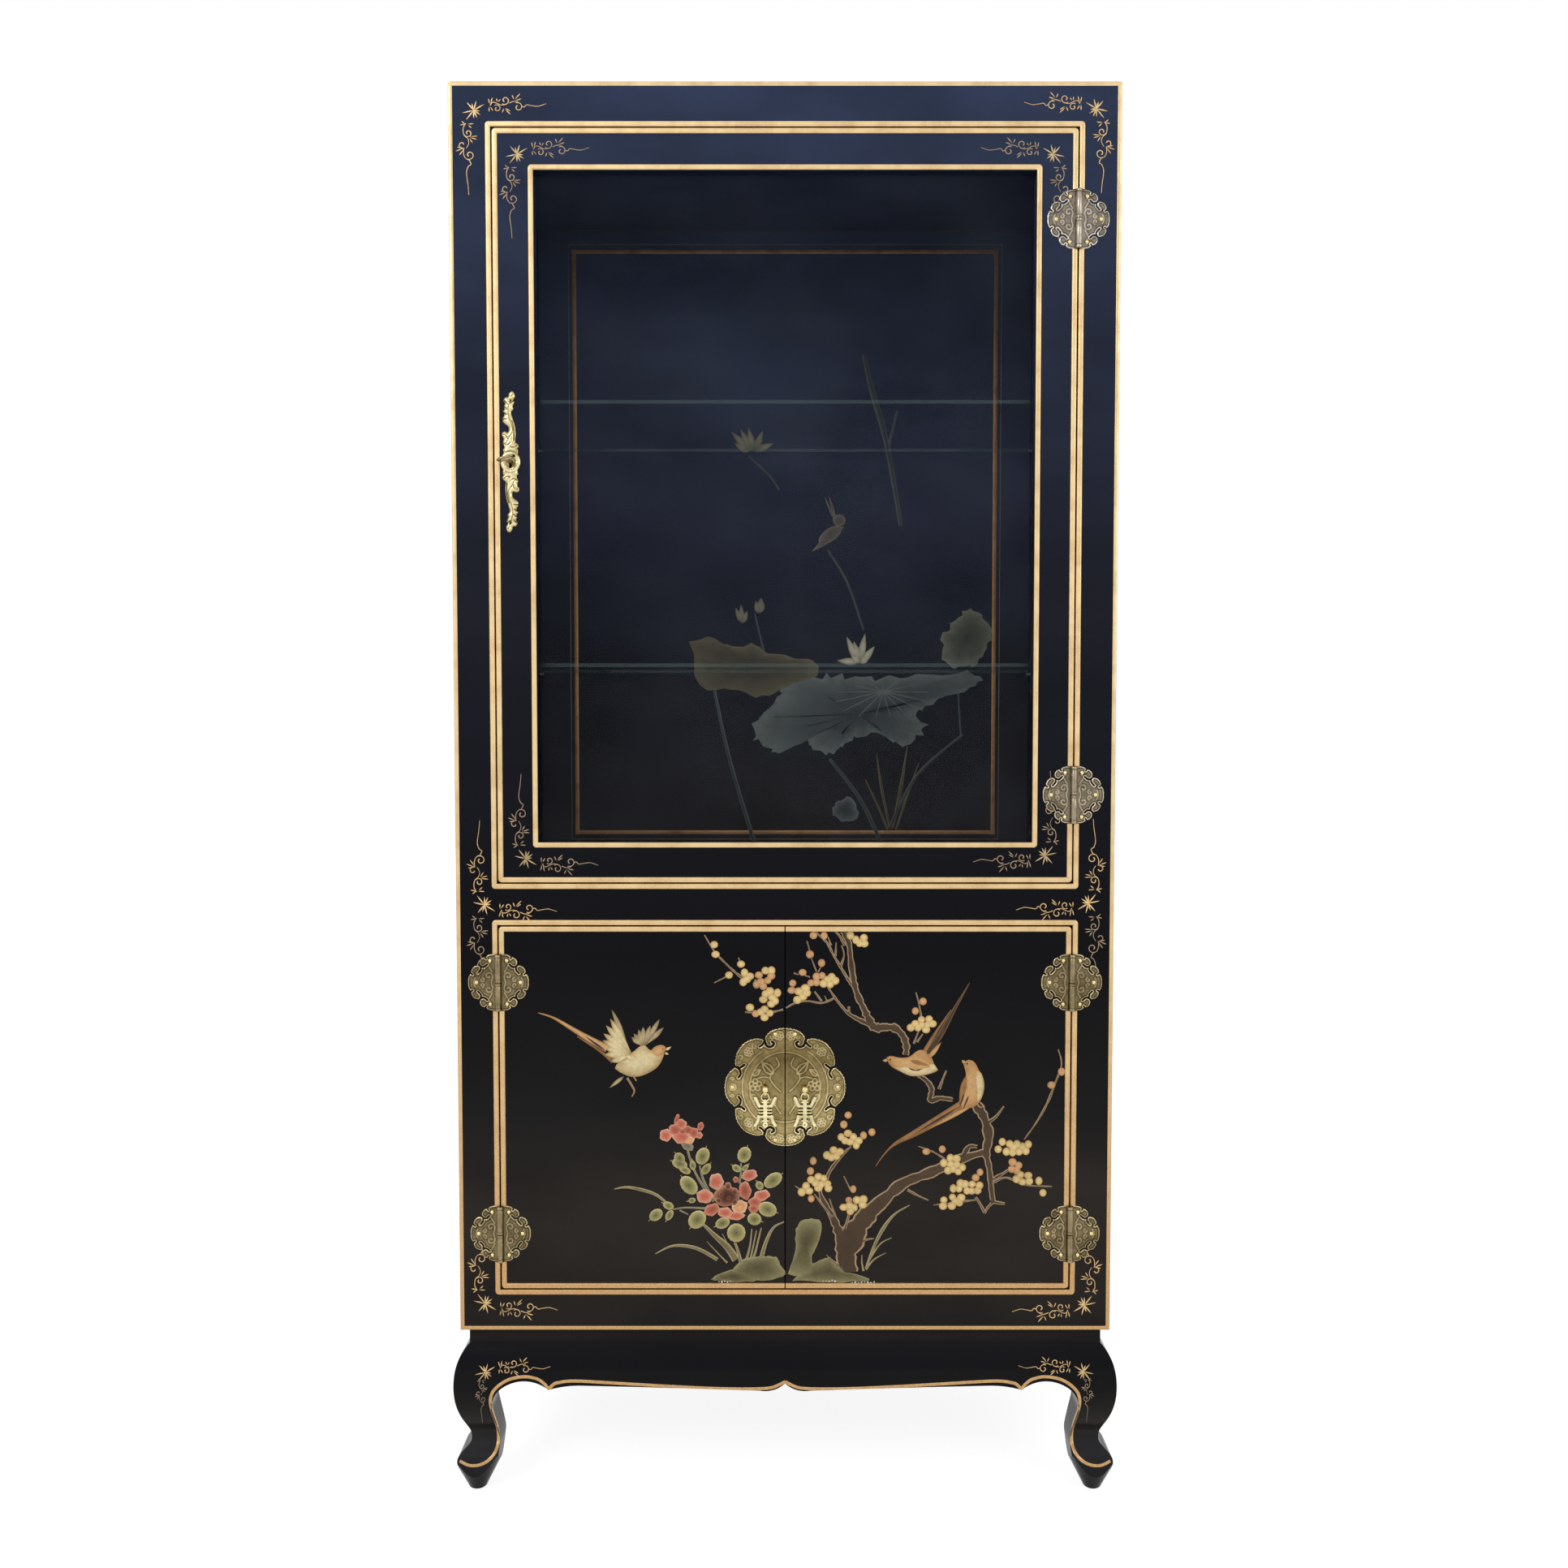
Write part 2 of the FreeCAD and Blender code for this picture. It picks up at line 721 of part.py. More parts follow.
def foot_trim():
    """A round pad that widens upward and trims the foot, about its own axis."""
    low = mm("foot_sole_radius")
    pad = mm("foot_pad_radius")
    rise = mm("foot_pad_rise")
    wide = mm("foot_cone_radius")
    tall = mm("foot_cone_height")
    lean = math.atan2(wide - pad, tall - rise)
    waist_share = 0.62
    middle = Vector(low + (pad - low) * waist_share, 0, rise * (1 - waist_share) * math.cos(lean))
    sole_edge = Vector(low, 0, 0)
    pad_edge = Vector(pad, 0, rise)
    top_edge = Vector(wide, 0, tall)
    edges = [
        Part.makeLine(Vector(0, 0, 0), sole_edge),
        Part.Arc(sole_edge, middle, pad_edge).toShape(),
        Part.makeLine(pad_edge, top_edge),
        Part.makeLine(top_edge, Vector(0, 0, tall)),
        Part.makeLine(Vector(0, 0, tall), Vector(0, 0, 0)),
    ]
    return Part.Face(Part.Wire(edges)).revolve(Vector(0, 0, 0), ALONG_Z, 360)


def leg_shape():
    """The front left leg: one silhouette sawn from two sides, its foot turned to a pad."""
    silhouette = upright(leg_outline())
    reach = mm("leg_block") + mm("knee_bulge") + mm("overrun")
    from_front = silhouette.translated(Vector(-mm("case_half"), mm("front_y") + reach, 0))
    from_front = from_front.extrude(ALONG_Y * (-reach - mm("knee_bulge") - mm("overrun")))
    turned = silhouette.rotated(Vector(0, 0, 0), ALONG_Z, 90)
    from_side = turned.translated(Vector(reach - mm("case_half"), mm("front_y"), 0))
    from_side = from_side.extrude(ALONG_X * (-reach - mm("knee_bulge") - mm("overrun")))
    trim = foot_trim().translated(Vector(-mm("foot_axis"), mm("front_y") + mm("foot_centre_inset"), 0))
    wide = mm("foot_cone_radius")
    above = Part.makeBox(
        2 * wide + reach, 2 * wide + reach, mm("leg_height"),
        Vector(-mm("case_half") - wide, mm("front_y") - wide, mm("foot_cone_height")),
    )
    return from_front.common(from_side).common(trim.fuse(above)).removeSplitter()


leg_front_left = made("leg_front_left", leg_shape())
leg_front_right = mirrored("leg_front_right", leg_front_left, ALONG_X)
leg_rear_left = mirrored("leg_rear_left", leg_front_left, ALONG_Y, y="middle_y")
leg_rear_right = mirrored("leg_rear_right", leg_front_right, ALONG_Y, y="middle_y")


def apron_silhouette(half_length):
    """An apron seen from the front: arches at its ends, cusps, and a notch at the middle."""
    top = mm("leg_height")
    cusp_z = top - mm("apron_depth")
    cusp_x = half_length - mm("apron_arch_width")
    arch = Vector(cusp_x + mm("apron_arch_width") / 2, cusp_z + mm("apron_arch_rise"), 0)
    joint = Vector(half_length, cusp_z, 0)
    cusp = Vector(cusp_x, cusp_z, 0)
    shoulder_z = cusp_z + mm("apron_shoulder_rise")
    shoulder = Vector(cusp_x - mm("apron_shoulder_width"), shoulder_z, 0)
    belly = Vector(mm("apron_notch_width"), cusp_z - mm("apron_belly_drop"), 0)
    notch = Vector(0, belly.y + mm("apron_notch_rise"), 0)
    shoulder_bulge_share = 0.25
    belly_bulge_share = 0.5
    notch_across_share = 1 / 3
    notch_up_share = 0.25
    shoulder_bulge = Vector(0, shoulder_bulge_share * mm("apron_shoulder_rise"), 0)
    belly_bulge = Vector(0, belly_bulge_share * mm("apron_belly_drop"), 0)
    shoulder_mid = (cusp + shoulder) / 2 + shoulder_bulge
    belly_mid = (shoulder + belly) / 2 + belly_bulge
    notch_mid = Vector(
        notch_across_share * belly.x, belly.y + notch_up_share * mm("apron_notch_rise"), 0,
    )
    half = [
        Part.Arc(joint, arch, cusp).toShape(),
        Part.Arc(cusp, shoulder_mid, shoulder).toShape(),
        Part.Arc(shoulder, belly_mid, belly).toShape(),
        Part.Arc(belly, notch_mid, notch).toShape(),
    ]
    other = [edge.mirror(Vector(0, 0, 0), ALONG_X) for edge in half]
    ends = [
        Part.makeLine(joint, Vector(half_length, top, 0)),
        Part.makeLine(Vector(half_length, top, 0), Vector(-half_length, top, 0)),
        Part.makeLine(Vector(-half_length, top, 0), Vector(-half_length, cusp_z, 0)),
    ]
    return Part.Face(Part.Wire(Part.__sortEdges__(half + other + ends)))


def apron_section():
    """The apron's section: the leg's outer curve in front, flat behind."""
    outer, shoulder, toe = leg_outer_curve()
    back = mm("waist_inset") + mm("apron_thickness")
    lines = [
        Part.makeLine(toe, Vector(back, toe.y, 0)),
        Part.makeLine(Vector(back, toe.y, 0), Vector(back, shoulder.y, 0)),
        Part.makeLine(Vector(back, shoulder.y, 0), shoulder),
    ]
    return Part.Face(Part.Wire(Part.__sortEdges__([outer] + lines)))


def apron_shape(half_length):
    """An apron centred on X, its front plane at y = 0."""
    reach = mm("waist_inset") + mm("apron_thickness") + mm("overrun")
    face_on = upright(apron_silhouette(half_length)).translated(Vector(0, reach, 0))
    face_on = face_on.extrude(ALONG_Y * (-reach - mm("knee_bulge") - mm("overrun")))
    end_on = upright(apron_section()).rotated(Vector(0, 0, 0), ALONG_Z, 90)
    end_on = end_on.translated(Vector(half_length, 0, 0)).extrude(ALONG_X * (-2 * half_length))
    return face_on.common(end_on)


front_apron_half = mm("case_half") - mm("leg_block")
side_apron_half = mm("case_depth") / 2 - mm("leg_block")
apron_front = made("apron_front", apron_shape(front_apron_half).translated(Vector(0, mm("front_y"), 0)))
apron_rear = mirrored("apron_rear", apron_front, ALONG_Y, y="middle_y")
side_apron = apron_shape(side_apron_half).rotated(Vector(0, 0, 0), ALONG_Z, -90)
side_apron_left = made("side_apron_left", side_apron.translated(Vector(-mm("case_half"), mm("middle_y"), 0)))
side_apron_right = mirrored("side_apron_right", side_apron_left, ALONG_X)
apron_sides = group("apron_sides", [side_apron_left, side_apron_right])


# Hinges
# Round lobes of a hinge leaf, as shares of the hinge's half height: across, up, radius
LEAF_LOBE_SHARES = (
    (0, 0, 0.72), (0.2, 0.755, 0.245), (0.534, 0.678, 0.14), (0.745, 0.412, 0.145), (0.366, 0, 0.7),
)
# Small drillings where the notches curl inward: across, up, radius
LEAF_CURL_SHARES = ((0.45, 0.555, 0.045), (0.65, 0.33, 0.045))
# Half the width of the flat cap at the plate's top and foot
LEAF_CAP_SHARE = 0.2


def lobed_plate(lobes, curls, half):
    """A cloud-edged plate about the origin, symmetrical both ways, y = 0 being its back."""
    depth = mm("plate_thickness")
    rounds = []
    for across, up, radius in lobes:
        for side, rise in ((1, 1), (1, -1), (-1, 1), (-1, -1)):
            rounds.append(disc(side * across * half, rise * up * half, radius * half, -depth, depth))
    plate = fused(rounds)
    holes = []
    for across, up, radius in curls:
        for side, rise in ((1, 1), (1, -1), (-1, 1), (-1, -1)):
            holes.append(disc(side * across * half, rise * up * half, radius * half, -2 * depth, 3 * depth))
    return plate.cut(Part.makeCompound(holes))


def leaf_blank():
    """The right-hand half of a hinge plate, with its flat cap between the top lobes."""
    half = mm("hinge_half_height")
    depth = mm("plate_thickness")
    plate = lobed_plate(LEAF_LOBE_SHARES, LEAF_CURL_SHARES, half)
    cap = block(-half * LEAF_CAP_SHARE, half * LEAF_CAP_SHARE, -depth, 0, -half, half)
    edge = mm("leaf_gap")
    keep = block(edge, 2 * half, -2 * depth, depth, -half, half)
    return plate.fuse(cap).common(keep).removeSplitter()


def leaf_shape(blank, leaf_side, own_low):
    """One leaf about its hinge's centre; own_low says whether it has the lower knuckle."""
    half = mm("hinge_half_height")
    radius = mm("barrel_radius")
    axis_y = -radius - mm("barrel_stand_off")
    gap = mm("knuckle_gap") / 2
    leaf = blank if leaf_side > 0 else blank.mirror(Vector(0, 0, 0), ALONG_X)
    low, high = (-half, -gap) if own_low else (gap, half)
    other_low, other_high = (-gap, half) if own_low else (-half, gap)
    tall = other_high - other_low
    swept = radius + mm("leaf_gap")
    room = Part.makeCylinder(swept, tall, Vector(0, axis_y, other_low), ALONG_Z)
    barrel = Part.makeCylinder(radius, high - low, Vector(0, axis_y, low), ALONG_Z)
    web = block(mm("leaf_gap"), radius, axis_y, -mm("plate_thickness") / 2, low, high)
    if leaf_side < 0:
        web = web.mirror(Vector(0, 0, 0), ALONG_X)
    bore_radius = mm("hinge_pin_radius") + mm("hinge_pin_clearance")
    bore = Part.makeCylinder(bore_radius, 2 * half, Vector(0, axis_y, -half), ALONG_Z)
    return leaf.cut(room).fuse(barrel).fuse(web).cut(bore).removeSplitter()


blank_leaf = leaf_blank()


def leaves(label, spots):
    """All the leaves of one body: hinge side, height, the side they lie on, lower knuckle or not."""
    shapes = []
    drillings = []
    for side, hinge_z, leaf_side, own_low in spots:
        shape = leaf_shape(blank_leaf, leaf_side, own_low)
        shapes.append(shape.translated(Vector(side * mm("hinge_x"), mm("front_y"), mm(hinge_z))))
        drillings += hinge_stud_places(side, hinge_z, leaf_side)
    blanks = made(label + "_blanks", Part.makeCompound(shapes))
    return cut(label, blanks, stud_holes(label + "_stud_holes", drillings))


frame_hinge_leaves = leaves("frame_hinge_leaves", [(side, z, side, True) for door, side, z in HINGES])


def hinge_pin(side, hinge_z):
    half = mm("hinge_half_height")
    foot = Vector(side * mm("hinge_x"), mm("hinge_y"), mm(hinge_z) - half)
    return Part.makeCylinder(mm("hinge_pin_radius"), 2 * half, foot, ALONG_Z)


hinge_pins = made("hinge_pins", Part.makeCompound([hinge_pin(side, z) for door, side, z in HINGES]))


def studs(label, spots):
    return made(label, Part.makeCompound([stud(x, z) for x, z in spots]))


frame_hinge_studs = studs("frame_hinge_studs", frame_stud_places())


def door_leaves(door):
    spots = [(side, z, -side, False) for name, side, z in HINGES if name == door]
    return leaves(door + "_hinge_leaves", spots)


# Catches of the cupboard doors, under the middle rail
def catch(label, x):
    return board(
        label, x, "front_y + stop_start", "lower_head - catch_height",
        "catch_width", "catch_depth", "catch_height",
    )


door_catches = group("door_catches", [
    catch("catch_left", "-catch_offset - catch_width"),
    catch("catch_right", "catch_offset"),
])

# Glass door: frame, each member rebated behind for the pane
STILE_CORNERS = (
    ("", ""),
    ("door_frame_width", ""),
    ("door_frame_width", "glass_front_lip"),
    ("lip_width", "glass_front_lip"),
    ("lip_width", "door_thickness"),
    ("", "door_thickness"),
)
RAIL_CORNERS = [(depth, across) for across, depth in STILE_CORNERS]
stile_body = section_body("stile_section", "XY_Plane", STILE_CORNERS, "glass_door_height")
put(stile_body, "-door_half", "front_y", "glass_door_foot")
stile_mirror = mirrored("stile_mirror", stile_body, ALONG_X)
rail_body = section_body("glass_door_rail_section", "YZ_Plane", RAIL_CORNERS, "2 * sight_half")
put(rail_body, "-sight_half", "front_y", "glass_door_foot")
glass_door_rail_top = mirrored(
    "glass_door_rail_top", rail_body, ALONG_Z, z="glass_door_foot + glass_door_height / 2",
)
glass_door_rail_bottom = group("glass_door_rail_bottom", [rail_body])

# The lock sits in the lock stile, behind the keyhole
lock_pocket = board(
    "lock_pocket", "-door_half - overrun", "lock_front_y", "key_z - lock_height / 2",
    "lock_width + overrun", "lock_depth + overrun", "lock_height",
)


def keyhole(depth_start, depth):
    """A round hole for the key's stem with a slot below it for its bit."""
    radius = mm("key_stem_radius") + mm("key_hole_clearance")
    x = mm("key_x")
    z = mm("key_z")
    slot = mm("key_bit_thickness") / 2 + mm("key_hole_clearance")
    reach = mm("key_bit_radius") + mm("key_hole_clearance")
    round_hole = disc(x, z, radius, depth_start, depth)
    slot_hole = block(x - slot, x + slot, depth_start, depth_start + depth, z - reach, z)
    return round_hole.fuse(slot_hole)


stile_keyhole = made("stile_keyhole", keyhole(mm("front_y") - mm("overrun"), mm("door_thickness")))
glass_door_drillings = stud_holes("glass_door_stud_holes", door_stud_places("glass_door"))
glass_door_stile_lock = cut(
    "glass_door_stile_lock", stile_body, group("lock_stile_cuts", [lock_pocket, stile_keyhole]),
)
glass_door_stile_hinge = cut("glass_door_stile_hinge", stile_mirror, glass_door_drillings)

# Glass door: pane and what holds it
pane_width = "2 * (sight_half + glass_rebate)"
pane_height = "sight_height + 2 * glass_rebate"
door_glass = board(
    "door_glass", "-sight_half - glass_rebate", "front_y + glass_front_lip", "sight_foot - glass_rebate",
    pane_width, "glass_thickness", pane_height,
)


def glazing_stop(label, x, z, width, height):
    y = "front_y + glass_front_lip + glass_thickness"
    return board(label, x, y, z, width, "glazing_stop_depth", height)


stop_foot = "sight_foot - glass_rebate"
stop_head = "sight_foot + sight_height"
glazing_stops = group("glazing_stops", [
    glazing_stop("stop_left", "-sight_half - glass_rebate", stop_foot, "glass_rebate", pane_height),
    glazing_stop("stop_right", "sight_half", stop_foot, "glass_rebate", pane_height),
    glazing_stop("stop_low", "-sight_half", stop_foot, "2 * sight_half", "glass_rebate"),
    glazing_stop("stop_high", "-sight_half", stop_head, "2 * sight_half", "glass_rebate"),
])
sight_reach = mm("sight_half") + mm("bead_width")
glazing_bead = made("glazing_bead", bead_ring(
    -sight_reach, sight_reach,
    mm("sight_foot") - mm("bead_width"), mm("sight_foot") + mm("sight_height") + mm("bead_width"),
))
glass_door_ring = bead_ring(-mm("door_half"), mm("door_half"), mm("glass_door_foot"), mm("glass_door_head"))
glass_door_bead = made("glass_door_bead", glass_door_ring.cut(bead_stops))
glass_door_hinge_leaves = door_leaves("glass_door")
glass_door_studs = studs("glass_door_studs", door_stud_places("glass_door"))

# Escutcheon: an oval at the keyhole, then leaf scrolls that wander up and down from it,
# as shares of its half height up, of its half width across, and of that for the radius
ESCUTCHEON_SHARES = (
    (0, 0, 0.62), (0.09, 0, 0.55),
    (0.1, -0.05, 0.66), (0.2, 0.3, 0.46), (0.29, 0.52, 0.48), (0.38, 0.38, 0.5), (0.47, 0.02, 0.54),
    (0.56, -0.3, 0.54), (0.65, -0.52, 0.48), (0.73, -0.46, 0.44), (0.8, -0.12, 0.46), (0.86, 0.26, 0.5),
    (0.91, 0.12, 0.52),
)


def escutcheon_shape():
    half_height = mm("escutcheon_height") / 2
    half_width = mm("escutcheon_width") / 2
    depth = mm("escutcheon_thickness")
    back = mm("front_y")
    rounds = []
    for up in (1, -1):
        for up_share, across_share, radius_share in ESCUTCHEON_SHARES:
            x = mm("key_x") + up * across_share * half_width
            z = mm("key_z") + up * up_share * half_height
            rounds.append(disc(x, z, radius_share * half_width, back - depth, depth))
    opening = keyhole(back - 2 * depth, 3 * depth)
    return fused(rounds).cut(opening)


escutcheon = made("escutcheon", escutcheon_shape())

# Lock case with its key chamber and bolt channel
lock_block = board(
    "lock_block", "-door_half", "lock_front_y", "key_z - lock_height / 2",
    "lock_width", "lock_depth", "lock_height",
)
bolt_channel = board(
    "bolt_channel", "-door_half - overrun", "bolt_y - bolt_clearance", "bolt_low_z - bolt_clearance",
    "overrun + bolt_length + 2 * bolt_clearance", "bolt_thickness + 2 * bolt_clearance",
    "bolt_height + 2 * bolt_clearance",
)
chamber_depth = mm("lock_depth") - mm("lock_wall") + mm("overrun")
key_chamber = made("key_chamber", disc(
    mm("key_x"), mm("key_z"), mm("lock_chamber_radius"), mm("lock_front_y") - mm("overrun"), chamber_depth,
))
lock_case = cut("lock_case", lock_block, group("lock_hollows", [bolt_channel, key_chamber]))
lock_bolt = board(
    "lock_bolt", "-door_half + bolt_clearance", "bolt_y", "bolt_low_z",
    "bolt_length", "bolt_thickness", "bolt_height",
)


def key_bow():
    """The key's long round bow: two half rings joined by two rods, about the origin."""
    wire = mm("key_bow_wire_radius")
    end_x = (mm("key_bow_width") - mm("key_bow_depth")) / 2
    bend = mm("key_bow_depth") / 2 - wire
    parts = []
    for side in (1, -1):
        half_ring = Part.makeTorus(bend, wire, Vector(0, 0, 0), ALONG_Z, 0, 360, 180)
        half_ring = half_ring.rotated(Vector(0, 0, 0), ALONG_Z, -90 * side)
        parts.append(half_ring.translated(Vector(side * end_x, 0, 0)))
        parts.append(Part.makeCylinder(wire, 2 * end_x, Vector(-end_x, side * bend, 0), ALONG_X))
    return fused(parts)


# How far the key's stem runs into its bow, and where its collars start behind it, in wires
STEM_OVERLAP_SHARE = 1.3
COLLAR_SHARES = (0.33, 2.33)


def key_shape():
    """The key unlocked: bow and bit point right and a little up, and a half turn over the
    top throws the bolt outward to the left."""
    face = mm("front_y")
    wire = mm("key_bow_wire_radius")
    stem_radius = mm("key_stem_radius")
    bow_front = face - mm("key_reach")
    bow_back = bow_front + mm("key_bow_depth")
    stem_end = mm("lock_front_y") + mm("key_bit_width") + mm("lock_wall")
    half_bit = mm("key_bit_thickness") / 2
    # the stem ends inside the bow's rod, and both collars stand clear of that rod
    stem_start = bow_back - STEM_OVERLAP_SHARE * wire
    stem = disc(0, 0, stem_radius, stem_start, stem_end - stem_start)
    collars = []
    for share in COLLAR_SHARES:
        collars.append(disc(0, 0, stem_radius + wire / 2, bow_back + share * wire, wire))
    bit = block(
        0, mm("key_bit_radius"), stem_end - mm("key_bit_width"), stem_end, -half_bit, half_bit,
    )
    bow = key_bow().translated(Vector(0, bow_front + mm("key_bow_depth") / 2, 0))
    whole = fused([stem, bit, bow] + collars)
    whole = whole.rotated(Vector(0, 0, 0), ALONG_Y, -mm("key_tilt_degrees"))
    return whole.translated(Vector(mm("key_x"), 0, mm("key_z")))


key = made("key", key_shape())


# Cupboard doors
# Round lobes of the lock plate as shares of its half size: across, up, radius
PLATE_LOBE_SHARES = ((0, 0, 0.71), (0, 0.63, 0.37), (0.642, 0, 0.37), (0.576, 0.56, 0.254))
# Small drillings where its notches curl inward, in the same shares
PLATE_CURL_SHARES = (
    (0.2, 0.735, 0.03), (0.428, 0.63, 0.03), (0.66, 0.355, 0.03), (0.75, 0.19, 0.03),
)


def plate_halves():
    """The lock plate's left and right halves, split along the seam between the doors."""
    half = mm("plate_half")
    depth = mm("plate_thickness")
    plate = lobed_plate(PLATE_LOBE_SHARES, PLATE_CURL_SHARES, half)
    edge = mm("door_gap") / 2
    right = plate.common(block(edge, 2 * half, -2 * depth, depth, -2 * half, 2 * half))
    left = plate.common(block(-2 * half, -edge, -2 * depth, depth, -2 * half, 2 * half))
    place = Vector(0, mm("front_y"), mm("plate_z"))
    return {-1: left.translated(place), 1: right.translated(place)}


halves = plate_halves()


def post_hole(label, side):
    """The hole for a pull's post, through plate and door."""
    x = side * mm("pull_spread")
    z = mm("pull_axis_z") + mm("pull_ball_rise")
    start = mm("plate_front_y") - mm("overrun")
    depth = mm("door_thickness") + mm("plate_thickness") + 2 * mm("overrun")
    radius = mm("pull_neck_radius") + mm("stud_clearance")
    return made(label, disc(x, z, radius, start, depth))


def pull_post_shape(side):
    """A post with a ball head, an eye below it for the pull's ring, and a nut behind the door."""
    x = side * mm("pull_spread")
    axis_z = mm("pull_axis_z")
    neck_z = axis_z + mm("pull_ball_rise")
    face = mm("plate_front_y")
    ball_y = face - mm("pull_ball_reach")
    door_back = mm("front_y") + mm("door_thickness")
    neck_length = door_back + mm("pull_nut_thickness") - ball_y
    neck = disc(x, neck_z, mm("pull_neck_radius"), ball_y, neck_length)
    ball = Part.makeSphere(mm("pull_ball_radius"), Vector(x, ball_y, neck_z))
    nut = disc(x, neck_z, mm("pull_nut_radius"), door_back, mm("pull_nut_thickness"))
    lug = mm("pull_lug_radius")
    half = mm("pull_lug_width") / 2
    axis_y = mm("pull_axis_y")
    eye = Part.makeCylinder(lug, 2 * half, Vector(x - half, axis_y, axis_z), ALONG_X)
    tongue = block(x - half, x + half, axis_y - lug, axis_y + lug, axis_z, neck_z)
    hole_radius = mm("ring_wire_radius") + mm("pull_eye_clearance")
    hole_start = Vector(x - 2 * half, axis_y, axis_z)
    hole = Part.makeCylinder(hole_radius, 4 * half, hole_start, ALONG_X)
    return fused([neck, ball, nut, eye, tongue]).cut(hole)


# The drop's cross bars: down and half as thick as shares of its length, out of its half width
DROP_BAR_SHARES = (
    (0.36, 0.55, 0.028), (0.475, 0.44, 0.024), (0.578, 0.44, 0.024), (0.67, 0.5, 0.028),
)
# Its raised horns and splayed legs, as bent bars: out of its half width, down its length
DROP_HORN_SHARES = ((0.5, 0.36), (0.66, 0.25), (0.85, 0.12))
DROP_LEG_SHARES = ((0.45, 0.67), (0.6, 0.8), (0.88, 0.93))
# Half the thickness of the bent bars and of the spine, in the ring's wire
DROP_ARM_SHARE = 1.2
DROP_SPINE_SHARE = 2
# The spine's end and the round boss on it, down its length and in radius
DROP_SPINE_END_SHARE = 0.95
DROP_BOSS_SHARES = (0.94, 0.06)


def bar_between(start, end, half_thick, depth):
    """A flat bar with round ends between two points of the drop's plane."""
    run = end - start
    length = run.Length
    bar = block(-half_thick, half_thick, -depth / 2, depth / 2, 0, length)
    turn = math.degrees(math.atan2(run.x, run.z))
    bar = bar.rotated(Vector(0, 0, 0), ALONG_Y, turn).translated(start)
    ends = [disc(spot.x, spot.z, half_thick, -depth / 2, depth) for spot in (start, end)]
    return bar.fuse(ends[0]).fuse(ends[1])


def pull_shape(side):
    """The openwork drop: ring, spine, cross bars, raised horns and splayed legs."""
    length = mm("drop_length")
    half = mm("drop_width") / 2
    depth = mm("drop_thickness")
    ring_z = -mm("ring_radius")
    wire = mm("ring_wire_radius")
    ring = Part.makeTorus(mm("ring_radius"), wire, Vector(0, 0, ring_z), ALONG_Y)
    spine_half = DROP_SPINE_SHARE * wire
    spine_end = -DROP_SPINE_END_SHARE * length
    spine = block(-spine_half, spine_half, -depth / 2, depth / 2, spine_end, 2 * ring_z)
    parts = [ring, spine]
    for down, out, thick in DROP_BAR_SHARES:
        low = -(down + thick) * length
        high = -(down - thick) * length
        parts.append(block(-out * half, out * half, -depth / 2, depth / 2, low, high))
    for hand in (-1, 1):
        for arm_shares in (DROP_HORN_SHARES, DROP_LEG_SHARES):
            bends = [Vector(hand * out * half, 0, -down * length) for out, down in arm_shares]
            for start, end in zip(bends, bends[1:]):
                parts.append(bar_between(start, end, DROP_ARM_SHARE * wire, depth))
    boss_down, boss_radius = DROP_BOSS_SHARES
    parts.append(disc(0, -boss_down * length, boss_radius * length, -depth / 2, depth))
    place = Vector(side * mm("pull_spread"), mm("pull_axis_y"), mm("pull_axis_z"))
    return fused(parts).translated(place)


def cupboard_door(name, side, x):
    """All the pieces of one cupboard door."""
    spots = door_stud_places(name) + plate_stud_places(side)
    drillings = stud_holes(name + "_stud_holes", spots)
    through = post_hole(name + "_post_hole", side)
    cuts = group(name + "_cuts", [drillings, through])
    blank = board(
        name + "_blank", x, "front_y", "cupboard_door_foot",
        "cupboard_door_width", "door_thickness", "cupboard_door_height",
    )
    door_foot = mm("cupboard_door_foot")
    door_head = door_foot + mm("cupboard_door_height")
    ring = bead_ring(-mm("door_half"), mm("door_half"), door_foot, door_head)
    face = mm("front_y")
    reach = mm("overrun")
    edge = mm("door_gap") / 2
    low, high = sorted((side * edge, side * mm("case_half")))
    half_space = block(low, high, face - reach, face + reach, mm("stand_height"), mm("upper_sill"))
    plate_blank = made(name + "_plate_blank", halves[side])
    return [
        cut(name + "_panel", blank, cuts),
        made(name + "_bead", ring.common(half_space).cut(bead_stops)),
        door_leaves(name),
        cut(name + "_lock_plate", plate_blank, cuts),
        made(name + "_pull_post", pull_post_shape(side)),
        studs(name + "_studs", spots),
        made(name + "_pull", pull_shape(side)),
    ]


left_door = cupboard_door("left_door", -1, "-door_half")
right_door = cupboard_door("right_door", 1, "door_gap / 2")

CASE_NODES = [
    front_post_left, front_post_right, rear_posts, top_rail, mid_rail, bottom_rail, carcass_rails, top_panel,
    display_ceiling, display_floor, cupboard_floor, side_panels, back_panel_upper, back_panel_lower,
    glass_shelf_upper, glass_shelf_lower, shelf_pins, upper_frame_bead, lower_frame_bead, door_catches,
    frame_hinge_leaves, hinge_pins, frame_hinge_studs,
]
STAND_NODES = [
    waist_frame, apron_front, apron_rear, apron_sides,
    leg_front_left, leg_front_right, leg_rear_left, leg_rear_right,
]
GLASS_DOOR_NODES = [
    glass_door_stile_lock, glass_door_stile_hinge, glass_door_rail_top, glass_door_rail_bottom, door_glass,
    glazing_stops, glazing_bead, glass_door_bead, glass_door_hinge_leaves, glass_door_studs, escutcheon,
    lock_case, lock_bolt, key,
]
NODES = CASE_NODES + STAND_NODES + GLASS_DOOR_NODES + left_door + right_door

